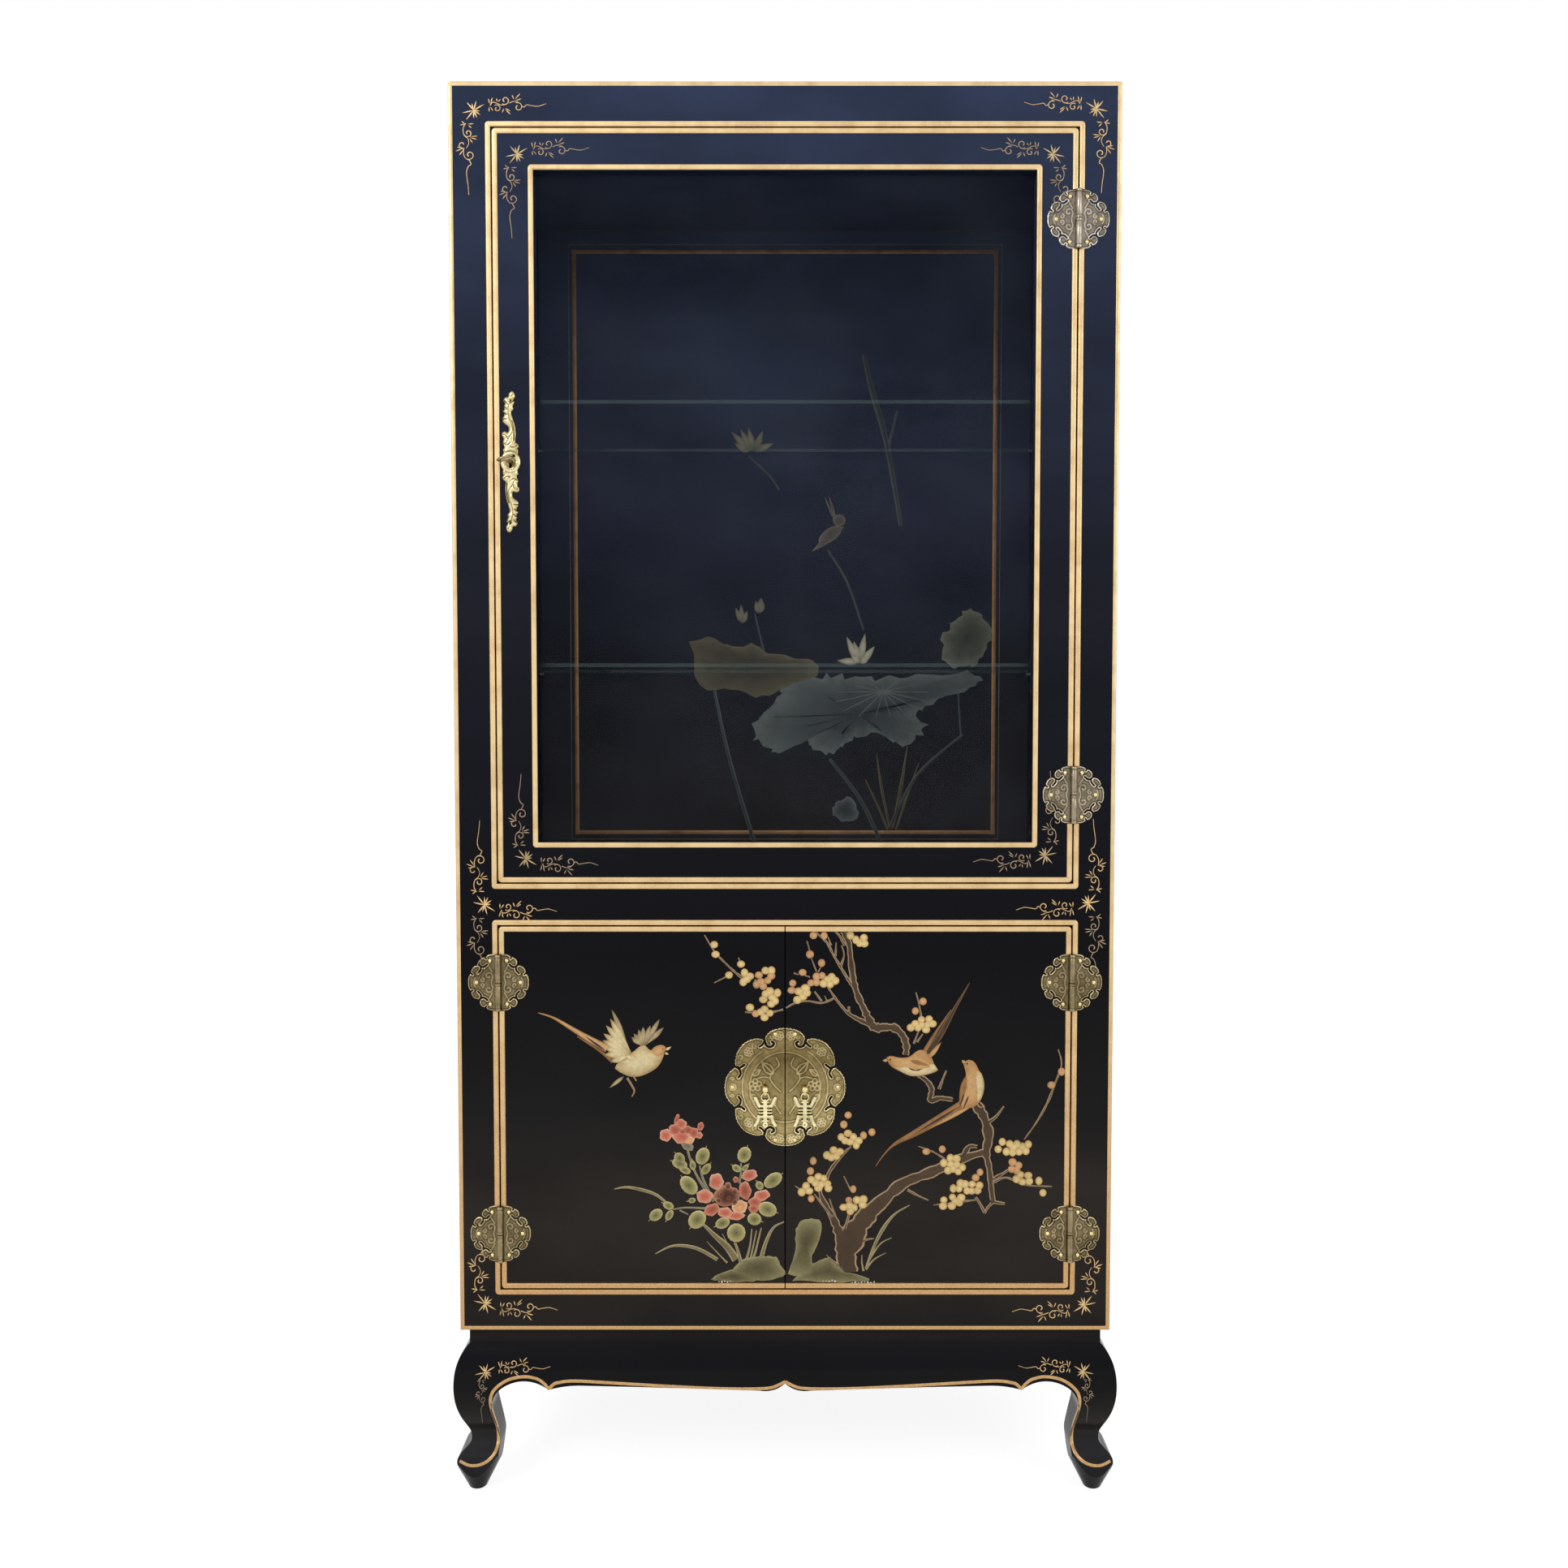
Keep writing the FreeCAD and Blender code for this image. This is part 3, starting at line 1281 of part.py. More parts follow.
doc.recompute()
for item in doc.Objects:
    if "Invalid" in item.State or "Error" in item.State:
        raise RuntimeError("failed object: " + item.Label)
for node in NODES:
    if node.Shape.isNull() or not node.Shape.isValid():
        raise RuntimeError("bad shape: " + node.Label)
for node in NODES:
    node.Shape.exportStep("parts/" + node.Label + ".step")
    print(node.Label, len(node.Shape.Solids), "solids", round(node.Shape.Volume), "mm3")
print(len(NODES), "nodes")
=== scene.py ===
import math
import random

import bmesh
import bpy
import numpy as np
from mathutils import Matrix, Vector
from mathutils.bvhtree import BVHTree


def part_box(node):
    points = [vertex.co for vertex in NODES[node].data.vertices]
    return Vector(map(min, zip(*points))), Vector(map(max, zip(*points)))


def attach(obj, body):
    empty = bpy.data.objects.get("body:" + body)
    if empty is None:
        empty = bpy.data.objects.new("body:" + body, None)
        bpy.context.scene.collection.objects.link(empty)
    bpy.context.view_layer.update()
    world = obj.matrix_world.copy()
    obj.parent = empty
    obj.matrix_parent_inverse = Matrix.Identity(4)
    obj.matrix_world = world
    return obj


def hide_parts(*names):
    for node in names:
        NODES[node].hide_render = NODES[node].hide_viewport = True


# The looks of a black lacquered display cabinet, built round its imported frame.
# Metres, +Z up, and the front faces -Y. Sizes of small things are given in millimetres,
# and names that end in _PX hold places in pixels of the photograph.
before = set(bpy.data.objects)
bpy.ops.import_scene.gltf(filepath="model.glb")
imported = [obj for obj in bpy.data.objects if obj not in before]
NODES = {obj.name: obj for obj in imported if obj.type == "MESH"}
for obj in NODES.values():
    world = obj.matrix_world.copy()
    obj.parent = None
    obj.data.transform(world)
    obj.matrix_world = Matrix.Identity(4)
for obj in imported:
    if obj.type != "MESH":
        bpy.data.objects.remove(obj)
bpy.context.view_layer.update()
MM = 0.001
draw = random.Random(11)

# The photograph's camera, fitted to the corners of the case
PHOTO_SIZE = 1932
FOCAL_PX = 1646.0
CENTRE_X_PX = 967.3
CENTRE_Y_PX = 937.6
PITCH = math.radians(2.404)
EYE = Vector((0, -1965.8, 1072.8)) * MM

# Places taken from the frame
FACE_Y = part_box("mid_rail")[0].y
CASE_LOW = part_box("front_post_left")[0]
CASE_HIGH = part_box("top_panel")[1]
BACK_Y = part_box("back_panel_upper")[0].y

# Painted work: how deep its edges sink, how much higher each later stroke or patch lies, and its rise
EDGE_THICK = 0.1 * MM
LIFT = 0.0016 * MM
STROKE_RISE = 0.3 * MM
PATCH_RISE = 0.35 * MM

SHARP_ANGLE = math.radians(50)
FAR = 1e9
TINY = 1e-12


def sight(px, py):
    """The direction in which a pixel of the photograph looks."""
    right = (px - CENTRE_X_PX) / FOCAL_PX
    up = (CENTRE_Y_PX - py) / FOCAL_PX
    forward = math.cos(PITCH) + up * math.sin(PITCH)
    return Vector((right, forward, up * math.cos(PITCH) - math.sin(PITCH)))


def on_plane(px, py, y):
    """Where a pixel's line of sight meets an upright plane, as x and z."""
    ray = sight(px, py)
    spot = EYE + ray * ((y - EYE.y) / ray.y)
    return spot.x, spot.z


def pixel_length(y):
    """What one pixel measures on an upright plane."""
    return (y - EYE.y) / FOCAL_PX


def linear(red, green, blue):
    """A colour given as it looks on screen, 0 to 255, in scene units."""
    parts = []
    for level in (red, green, blue):
        share = level / 255
        parts.append(share / 12.92 if share <= 0.04045 else ((share + 0.055) / 1.055) ** 2.4)
    return (*parts, 1.0)


def shown(value):
    """A tone as it looks on screen becomes a colour; a colour or a node's output stays as it is."""
    return linear(*value) if isinstance(value, tuple) and len(value) == 3 else value


def blended(first, second, share):
    return tuple(a + (b - a) * share for a, b in zip(first, second))


# Materials
class Tree:
    """A node tree with short ways to add nodes and to set or join their inputs."""

    def __init__(self, tree):
        self.tree = tree

    def feed(self, socket, value):
        if isinstance(value, bpy.types.NodeSocket):
            self.tree.links.new(value, socket)
        else:
            socket.default_value = value

    def fill(self, node, inputs):
        for name, value in inputs.items():
            self.feed(node.inputs[name.replace("_", " ")], value)

    def node(self, kind, settings=(), **inputs):
        made = self.tree.nodes.new("ShaderNode" + kind)
        for name, value in dict(settings).items():
            setattr(made, name, value)
        self.fill(made, inputs)
        return made

    def math(self, operation, *values):
        made = self.node("Math", {"operation": operation})
        for socket, value in zip(made.inputs, values):
            self.feed(socket, value)
        return made.outputs[0]

    def remap(self, source, low, high, low_to, high_to):
        inputs = {"From_Min": low, "From_Max": high, "To_Min": low_to, "To_Max": high_to}
        return self.node("MapRange", Value=source, **inputs).outputs["Result"]

    def seen_directly(self):
        """One for what the camera, a reflection or the glass shows, and nought for light on things."""
        path = self.node("LightPath").outputs
        first = self.math("MAXIMUM", path["Is Camera Ray"], path["Is Glossy Ray"])
        return self.math("MAXIMUM", first, path["Is Transmission Ray"])


class Finish(Tree):
    """A material made of noises over the frame's own places."""

    # The Mix node's inputs for its share and two colours, and its output for a colour
    MIX_INPUTS = (0, 6, 7)
    MIX_OUTPUT = 2
    NOISE_ROUGHNESS = 0.55

    def __init__(self, name):
        self.material = bpy.data.materials.new(name)
        self.material.use_nodes = True
        super().__init__(self.material.node_tree)
        self.shader = self.tree.nodes["Principled BSDF"]

    def place(self):
        return self.node("TexCoord").outputs["Object"]

    def along(self, axis, vector=None):
        """One part of a vector, or of the surface's place in the frame."""
        return self.node("SeparateXYZ", Vector=vector or self.place()).outputs[axis]

    def attribute(self, name, output):
        return self.node("Attribute", {"attribute_name": name}).outputs[output]

    def noise(self, scale, detail, stretch=(1, 1, 1)):
        spread = self.node("Mapping", Vector=self.place(), Scale=stretch).outputs["Vector"]
        fixed = {"Scale": scale, "Detail": detail, "Roughness": self.NOISE_ROUGHNESS}
        return self.node("TexNoise", Vector=spread, **fixed).outputs["Fac"]

    def patchy(self, scale, detail, levels, values, stretch=(1, 1, 1)):
        """Noise whose levels, from the low to the high one, become values."""
        return self.remap(self.noise(scale, detail, stretch), *levels, *values)

    def ramp(self, source, stops):
        made = self.node("ValToRGB", Fac=source)
        elements = made.color_ramp.elements
        while len(elements) < len(stops):
            elements.new(0.5)
        for element, (spot, tone) in zip(elements, stops):
            element.position = spot
            element.color = shown(tone)
        return made.outputs["Color"]

    def mix(self, share, first, second, blend="MIX"):
        """Mixes two colours, each given as an output, a colour or a tone."""
        made = self.node("Mix", {"data_type": "RGBA", "blend_type": blend})
        for index, value in zip(self.MIX_INPUTS, (share, shown(first), shown(second))):
            self.feed(made.inputs[index], value)
        return made.outputs[self.MIX_OUTPUT]

    def bump(self, source, distance):
        self.set(Normal=self.node("Bump", Height=source, Distance=distance, Strength=1.0).outputs["Normal"])

    def set(self, **inputs):
        self.fill(self.shader, inputs)


# In the finishes, a noise has its scale per metre and its detail, then levels and the values they become
def lacquer_finish(name, roughness, shine, tones, dull_within=None):
    """Deep black lacquer whose tone changes with height as a painted reflection and painted shade, with
    clouding and a faint ripple.

    It is dull nearer to the middle of the case than dull_within, such as on the inside of its sides."""
    made = Finish(name)
    level = made.remap(made.along("Z"), 0.0, CASE_HIGH.z, 0.0, 1.0)
    cloud = made.patchy(6.0, 4.0, (0.35, 0.7), (0.0, 0.4), (0.7, 1, 1.5))
    gloss = made.patchy(22.0, 5.0, (0.3, 0.7), (roughness, roughness + 0.1))
    if dull_within:
        aside = made.math("ABSOLUTE", made.along("X"))
        dull = made.remap(aside, dull_within, dull_within + DULL_FADE, DULL_ROUGHNESS, 0.0)
        gloss = made.math("MAXIMUM", gloss, dull)
    # The tones over height are a painted reflection and painted shade on the black lacquer
    colour = made.mix(cloud, made.ramp(level, tones), (6, 6, 10))
    made.set(Base_Color=colour, Roughness=gloss, Specular_IOR_Level=shine)
    made.bump(made.noise(60.0, 2.0), 0.12 * MM)
    return made.material


def gilt_finish(name):
    """Gilding with worn, browner patches and brush marks, and painted light from above that makes it paler
    high up than low down.
    """
    made = Finish(name)
    # Painted light from above: the gold turns paler with height
    level = made.remap(made.along("Z"), 0.25, 0.95, 0.0, 1.0)
    gold = made.mix(level, (190, 146, 92), (230, 202, 152))
    gold = made.mix(made.patchy(38.0, 6.0, (0.42, 0.7), (0.0, 0.5)), gold, (178, 134, 84))
    gold = made.mix(made.patchy(420.0, 2.0, (0.35, 0.75), (0.0, 0.35)), gold, (244, 216, 164))
    made.set(Base_Color=gold, Metallic=0.7, Roughness=made.patchy(120.0, 3.0, (0.3, 0.7), (0.3, 0.48)))
    made.bump(made.noise(500.0, 3.0), 0.1 * MM)
    return made.material


def brass_finish(name, bright, middle, dark, roughness=0.3, engraved=True, height_shade=None):
    """Brass whose grooves hold dark patina; the mesh says by its relief where they are.

    The last argument gives two heights and the tone towards which the metal turns between them, as painted
    shade by height."""
    made = Finish(name)
    if engraved:
        base = made.ramp(made.attribute("relief", "Fac"), ((0.05, dark), (0.45, middle), (0.95, bright)))
        tarnish = made.patchy(34.0, 4.0, (0.46, 0.66), (0.0, 0.5))
        base = made.mix(tarnish, base, (176, 172, 150), "MULTIPLY")
    else:
        base = made.mix(0.4, bright, middle)
    mottle = made.patchy(150.0, 6.0, (0.35, 0.72), (0.0, 0.45))
    shade = blended(linear(*middle), linear(*dark), 0.45)
    base = made.mix(mottle, base, shade, "MULTIPLY" if engraved else "MIX")
    # Painted shade: between two heights the metal turns towards a darker tone
    if height_shade:
        low, high, tone = height_shade
        base = made.mix(made.remap(made.along("Z"), low, high, 0.0, 1.0), base, tone, "MULTIPLY")
    rough = made.patchy(90.0, 4.0, (0.3, 0.7), (roughness - 0.08, roughness + 0.14))
    made.set(Base_Color=base, Roughness=rough, Metallic=1.0)
    made.bump(made.noise(700.0, 2.0), 0.08 * MM)
    return made.material


def paint_finish(name, metallic=0.0, roughness=0.42, wear=0.3):
    """Hand-laid colour: the mesh carries the hue, and brushwork varies it."""
    made = Finish(name)
    brush = made.patchy(260.0, 4.0, (0.4, 0.75), (0.0, wear))
    stain = made.patchy(42.0, 5.0, (0.48, 0.7), (0.0, 1.5 * wear))
    stained = made.mix(stain, made.attribute("paint", "Color"), (140, 132, 122), "MULTIPLY")
    rough = made.patchy(150.0, 3.0, (0.3, 0.7), (roughness - 0.08, roughness + 0.12))
    colour = made.mix(brush, stained, (66, 54, 40))
    made.set(Base_Color=colour, Roughness=rough, Metallic=metallic, Specular_IOR_Level=0.2)
    made.bump(made.noise(600.0, 3.0), 0.12 * MM)
    return made.material


def steel_finish():
    """Brushed steel."""
    made = Finish("steel")
    brushed = made.patchy(300.0, 4.0, (0.3, 0.7), (0.0, 1.0), (0.2, 1, 1))
    rough = made.patchy(200.0, 3.0, (0.3, 0.7), (0.25, 0.42))
    made.set(Base_Color=made.mix(brushed, (150, 150, 152), (196, 196, 198)), Roughness=rough, Metallic=1.0)
    return made.material


def plain_wood_finish():
    """Stained hardwood with drawn-out grain."""
    made = Finish("plain_wood")
    grain = made.noise(6.0, 6.0, (1, 15, 15))
    colour = made.ramp(grain, ((0.3, (40, 28, 20)), (0.5, (58, 42, 30)), (0.7, (74, 54, 38))))
    made.set(Base_Color=colour, Roughness=made.remap(grain, 0.3, 0.7, 0.5, 0.7))
    made.bump(grain, 0.3 * MM)
    return made.material


def glass_finish(name, broad_axis, edge_alpha, veil):
    """Clear sheet glass: its broad faces show as a thin veil, and its sawn edges look dull green."""
    made = Finish(name)
    flat = made.math("ABSOLUTE", made.along(broad_axis, made.node("NewGeometry").outputs["Normal"]))
    smear = made.patchy(9.0, 4.0, (0.4, 0.75), veil)
    alpha = made.math("ADD", smear, made.remap(flat, 0.3, 0.7, edge_alpha, 0.0))
    colour = made.mix(made.remap(flat, 0.3, 0.7, 0.0, 1.0), (84, 108, 106), (114, 124, 140))
    made.set(Base_Color=colour, Alpha=alpha, Roughness=made.patchy(14.0, 3.0, (0.3, 0.7), (0.02, 0.06)))
    return made.material


# Shares of the whole height and the tone there, with a painted reflection, painted shade and painted
# highlights over the black: brownish low down, bluish high up
OUTER_TONES_WITH_PAINTED_LIGHT = (
    (0.0, (26, 25, 24)), (0.03, (46, 46, 50)), (0.05, (50, 47, 43)), (0.077, (26, 25, 24)),
    (0.095, (15, 15, 19)), (0.107, (19, 19, 22)), (0.113, (38, 34, 31)), (0.21, (50, 45, 40)),
    (0.28, (27, 26, 26)), (0.39, (9, 9, 14)), (0.47, (16, 17, 25)), (0.64, (29, 31, 42)),
    (0.86, (43, 51, 73)), (1.0, (51, 62, 89)),
)
# Inside the case, the tone at each share of the height with the door glass's reflection painted in: paler
# and bluer high up
INNER_TONES_WITH_PAINTED_REFLECTION = ((0.43, (44, 41, 39)), (0.6, (34, 35, 44)), (0.8, (55, 62, 85)), (1.0, (72, 83, 116)))

# The side panels turn dull within this reach from the middle of the case, which their inner faces are
SIDE_DULL_WITHIN = 0.43
DULL_FADE = 4 * MM
DULL_ROUGHNESS = 0.5

lacquer = lacquer_finish("black_lacquer", 0.08, 0.07, OUTER_TONES_WITH_PAINTED_LIGHT)
side_lacquer = lacquer_finish("side_lacquer", 0.08, 0.07, OUTER_TONES_WITH_PAINTED_LIGHT, SIDE_DULL_WITHIN)
post_lacquer = lacquer_finish("post_lacquer", 0.4, 0.05, OUTER_TONES_WITH_PAINTED_LIGHT)
inner_lacquer = lacquer_finish("inner_lacquer", 0.5, 0.03, INNER_TONES_WITH_PAINTED_REFLECTION)
gilt = gilt_finish("gilt")
gold_paint = paint_finish("gold_paint", metallic=0.45, roughness=0.4)
colour_paint = paint_finish("colour_paint", wear=0.22)
# Painted shade by height: the hinges darken low down, and the lock plates a little over their upper part
aged_brass = brass_finish(
    "aged_brass", (226, 216, 202), (158, 148, 134), (34, 29, 22), height_shade=(1.2, 0.7, (222, 212, 176)),
)
plate_brass = brass_finish(
    "plate_brass", (228, 212, 166), (168, 150, 102), (36, 30, 16), 0.27, height_shade=(0.54, 0.6, (214, 210, 206)),
)
bright_brass = brass_finish("bright_brass", (244, 234, 188), (186, 168, 120), (44, 34, 16), 0.24)
plain_brass = brass_finish("plain_brass", (186, 172, 134), (120, 106, 74), (60, 50, 34), 0.26, False)
bright_plain = brass_finish("bright_plain", (250, 232, 176), (214, 188, 120), (120, 96, 50), 0.2, False)
steel = steel_finish()
plain_wood = plain_wood_finish()
shelf_glass = glass_finish("shelf_glass", "Z", 0.22, (0.008, 0.03))
pane_glass = glass_finish("pane_glass", "Y", 0.35, (0.012, 0.03))

NODE_FINISHES = {
    "carcass_rails": plain_wood, "back_panel_upper": inner_lacquer, "display_floor": inner_lacquer,
    "display_ceiling": inner_lacquer, "cupboard_floor": inner_lacquer,
    "rear_posts": post_lacquer, "side_panels": side_lacquer,
    "glass_shelf_upper": shelf_glass, "glass_shelf_lower": shelf_glass, "door_glass": pane_glass,
    "lock_case": steel, "lock_bolt": steel, "shelf_pins": steel, "door_catches": steel,
    "key": plain_brass, "hinge_pins": plain_brass,
    "left_door_pull_post": bright_plain, "right_door_pull_post": bright_plain,
}
for node_name, item in NODES.items():
    finish = lacquer
    if node_name.endswith("_bead"):
        finish = gilt
    elif node_name.endswith("_studs"):
        finish = bright_plain
    item.data.materials.clear()
    item.data.materials.append(NODE_FINISHES.get(node_name, finish))


# Mesh helpers
def mesh_piece(name, spots, faces, material, body, colours=None, relief=None):
    """A closed piece from world points and faces, which may carry a colour or a relief for each point."""
    data = bpy.data.meshes.new(name)
    data.from_pydata([tuple(spot) for spot in spots], [], faces)
    data.validate()
    if colours is not None:
        layer = data.color_attributes.new("paint", "FLOAT_COLOR", "POINT")
        layer.data.foreach_set("color", np.array(colours, np.float32).ravel())
    if relief is not None:
        layer = data.attributes.new("relief", "FLOAT", "POINT")
        layer.data.foreach_set("value", np.array(relief, np.float32))
    mesh = bmesh.new()
    mesh.from_mesh(data)
    bmesh.ops.recalc_face_normals(mesh, faces=mesh.faces)
    mesh.to_mesh(data)
    mesh.free()
    data.materials.append(material)
    data.polygons.foreach_set("use_smooth", [True] * len(data.polygons))
    data.set_sharp_from_angle(angle=SHARP_ANGLE)
    item = bpy.data.objects.new(name, data)
    bpy.context.scene.collection.objects.link(item)
    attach(item, body)
    return item


def smooth_line(points, steps=5):
    """A curve through points, as a line of x and z."""
    ends = [points[0], *points, points[-1]]
    line = []
    for before, start, end, after in zip(ends, ends[1:], ends[2:], ends[3:]):
        for step in range(steps):
            t = step / steps
            spot = []
            for a, b, c, d in zip(before, start, end, after):
                square = 2 * a - 5 * b + 4 * c - d
                cube = 3 * b - a - 3 * c + d
                spot.append(0.5 * (2 * b + (c - a) * t + square * t ** 2 + cube * t ** 3))
            line.append(tuple(spot))
    line.append(tuple(points[-1]))
    return line


def flipped(line, flip_z=1, flip_x=1):
    return [(flip_x * x, flip_z * z) for x, z in line]


def both_ways(line):
    """A line and its mirror image below."""
    return [line, flipped(line, -1)]


def ring_line(x, z, radius, start=0, end=360, steps=12, end_radius=None):
    """Part of a circle or a spiral round x, z; angles in degrees from +X towards +Z."""
    end_radius = radius if end_radius is None else end_radius
    line = []
    for step in range(steps + 1):
        share = step / steps
        turn = math.radians(start + (end - start) * share)
        reach = radius + (end_radius - radius) * share
        line.append((x + reach * math.cos(turn), z + reach * math.sin(turn)))
    return line


def oval(x, z, half_long, half_wide, turn_degrees=0, steps=14):
    turn = math.radians(turn_degrees)
    outline = []
    cos, sin = math.cos(turn), math.sin(turn)
    for step in range(steps):
        angle = 2 * math.pi * step / steps
        a = half_long * math.cos(angle)
        b = half_wide * math.sin(angle)
        outline.append((x + a * cos - b * sin, z + a * sin + b * cos))
    return outline


def leaf_outline(foot, tip, width, steps=7, point=0.7):
    """A leaf, petal or feather from its foot to its tip; a point below 1 moves its belly to the foot."""
    run = Vector((tip[0] - foot[0], tip[1] - foot[1]))
    side = Vector((-run.y, run.x)).normalized() if run.length > 0 else Vector((0, 1))
    half = []
    for step in range(steps + 1):
        share = step / steps
        half.append((share, math.sin(math.pi * share ** point) * width / 2))
    outline = half + [(along, -out) for along, out in reversed(half[1:-1])]
    return [
        (foot[0] + run.x * along + side.x * out, foot[1] + run.y * along + side.y * out)
        for along, out in outline
    ]


def width_at(widths, share):
    """The width at a share of the way along even steps from the first width to the last."""
    marks = [part / (len(widths) - 1) for part in range(len(widths))]
    return float(np.interp(share, marks, widths))


class Brushwork:
    """Collects raised strokes and patches on an upright face, and makes one piece of them.

    Where a surface is given, what is drawn on the face lands on it along the photograph's sight lines."""

    # The shoulders of a stroke: their share of its half width, and how far they lie below its top
    SHOULDER = 0.8
    SHOULDER_DROP = 0.1 * MM

    def __init__(self, name, y, body, material, slot="gilt", surface=None):
        self.name = name
        self.y = y
        self.body = body
        self.material = material
        self.slot = slot
        self.surface = surface
        self.far = 0.0
        self.height = 0.0
        self.spots = []
        self.faces = []
        self.colours = []

    def px(self, px, py):
        return on_plane(px, py, self.y)

    def pxs(self, points):
        return [self.px(*point) for point in points]

    def spot(self, x, z, rise, colour):
        place = Vector((x, self.y, z))
        out = Vector((0, -1, 0))
        if self.surface:
            ray = (place - EYE).normalized()
            hit, normal, _, far = self.surface.ray_cast(EYE, ray)
            if hit is None:
                hit, normal, _, _ = self.surface.find_nearest(EYE + ray * self.far)
            else:
                self.far = far
            place = hit
            out = normal if normal.dot(ray) < 0 else -normal
        self.spots.append(place + out * rise)
        self.colours.append(colour)
        return len(self.spots) - 1

    def lift(self, rise):
        """Later work lies a little higher, so that it covers what it overlaps."""
        self.height += LIFT
        return rise + self.height

    def stroke(self, line, widths, colour, rise=STROKE_RISE, tip=None):
        """A domed ribbon along a line of x and z; widths is one half width, or several from end to end."""
        count = len(line)
        widths = widths if isinstance(widths, (tuple, list)) else (widths, widths)
        rise = self.lift(rise)
        edges = (1, -EDGE_THICK)
        shoulders = (self.SHOULDER, rise - self.SHOULDER_DROP)
        rows = []
        for turn, (x, z) in enumerate(line):
            ahead = line[min(turn + 1, count - 1)]
            behind = line[max(turn - 1, 0)]
            along = Vector((ahead[0] - behind[0], ahead[1] - behind[1])).normalized()
            share = turn / (count - 1)
            tone = blended(colour, tip or colour, share)
            across = Vector((-along.y, along.x)) * width_at(widths, share)
            top = self.spot(x, z, rise, tone)
            row = []
            for hand, (reach, up) in ((-1, edges), (-1, shoulders), (1, shoulders), (1, edges)):
                row.append(self.spot(x + across.x * hand * reach, z + across.y * hand * reach, up, tone))
            rows.append((*row[:2], top, *row[2:]))
        for first, second in zip(rows, rows[1:]):
            for low in range(5):
                high = (low + 1) % 5
                self.faces.append((first[low], first[high], second[high], second[low]))
        self.faces.append(tuple(reversed(rows[0])))
        self.faces.append(rows[-1])

    def rectangle(self, left, low, right, high, half, colour, rise=STROKE_RISE):
        """A line of a given half width round a rectangle."""
        corners = ((left, low), (right, low), (right, high), (left, high))
        for start, end in zip(corners, corners[1:] + corners[:1]):
            run = Vector((end[0] - start[0], end[1] - start[1])).normalized() * half
            ends = [(start[0] - run.x, start[1] - run.y), (end[0] + run.x, end[1] + run.y)]
            self.stroke(ends, half, colour, rise)

    def patch(self, outline, edge, heart=None, core=None):
        """A domed patch inside an outline that its middle can see all of: edge, field and core tones."""
        middle = (sum(x for x, z in outline) / len(outline), sum(z for x, z in outline) / len(outline))
        heart = heart or edge
        rise = self.lift(PATCH_RISE)
        # each ring's share of the outline's reach, its height and its tone
        dome = (
            (1, -EDGE_THICK, edge), (0.95, rise - 0.12 * MM, edge),
            (0.78, rise - 0.03 * MM, blended(edge, heart, 0.55)), (0.5, rise, heart),
        )
        rings = []
        for share, up, tone in dome:
            ring = []
            for x, z in outline:
                spot = (middle[0] + (x - middle[0]) * share, middle[1] + (z - middle[1]) * share)
                ring.append(self.spot(*spot, up, tone))
            rings.append(ring)
        top = self.spot(*middle, rise, core or heart)
        low = self.spot(*middle, -EDGE_THICK, edge)
        count = len(outline)
        for turn in range(count):
            after = (turn + 1) % count
            for outer, inner in zip(rings, rings[1:]):
                self.faces.append((outer[turn], outer[after], inner[after], inner[turn]))
            self.faces.append((rings[-1][turn], rings[-1][after], top))
            self.faces.append((rings[0][after], rings[0][turn], low))

    def finish(self):
        mesh_piece(
            self.name, self.spots, self.faces, self.material, self.body, colours=self.colours,
        )


# Corner ornaments, in pixels from the star's centre: right and down, for a corner at the top left
GOLD = linear(230, 192, 140)
PALE_GOLD = linear(246, 214, 152)
DIM_GOLD = linear(178, 154, 126)
STAR_PETALS_PX = (
    (-8.7, -10.3), (3.4, -12.5), (13.7, -8.1), (-14.5, 3.3), (-9.6, 12), (0, 10.5), (4.5, 10), (9, 6),
    (8, 1), (-2.5, -9),
)
# Each arm has stems, spirals as centre, outer radius, start and end in degrees, and leaves as foot and tip
ACROSS_ARM_PX = (
    (
        ((20.4, -6), (22, -9.2), (25, -10), (29, -8.4), (33, -6.6), (37, -6.6), (41, -7.6)),
        ((44, -9), (49, -11), (54, -10.6), (57.5, -8)),
        ((59.2, -5), (62.3, -4), (65, -6.7), (71.3, -5.8), (78.4, -4.9), (83.8, -6.3), (89.1, -8.1)),
    ),
    ((28.8, -2.3, 4.8, -130, 240), (38.6, -12.4, 5.6, 130, -240), (54.7, -4, 5.8, -120, 250)),
    (
        (20, -7, 18, -15), (21, -8, 23, -16), (20, -5, 24, 1), (19, -5, 19, 2), (29, -10, 28, -15),
        (30, -10, 33, -14), (49.8, -12.9, 47.1, -19.2), (50.2, -13, 57.4, -21), (51, -12, 59.2, -14.3),
        (37.3, -2.8, 35.1, 3.1), (38.6, -3, 45.4, 1.3), (38, -2, 45.8, 5.4),
    ),
)
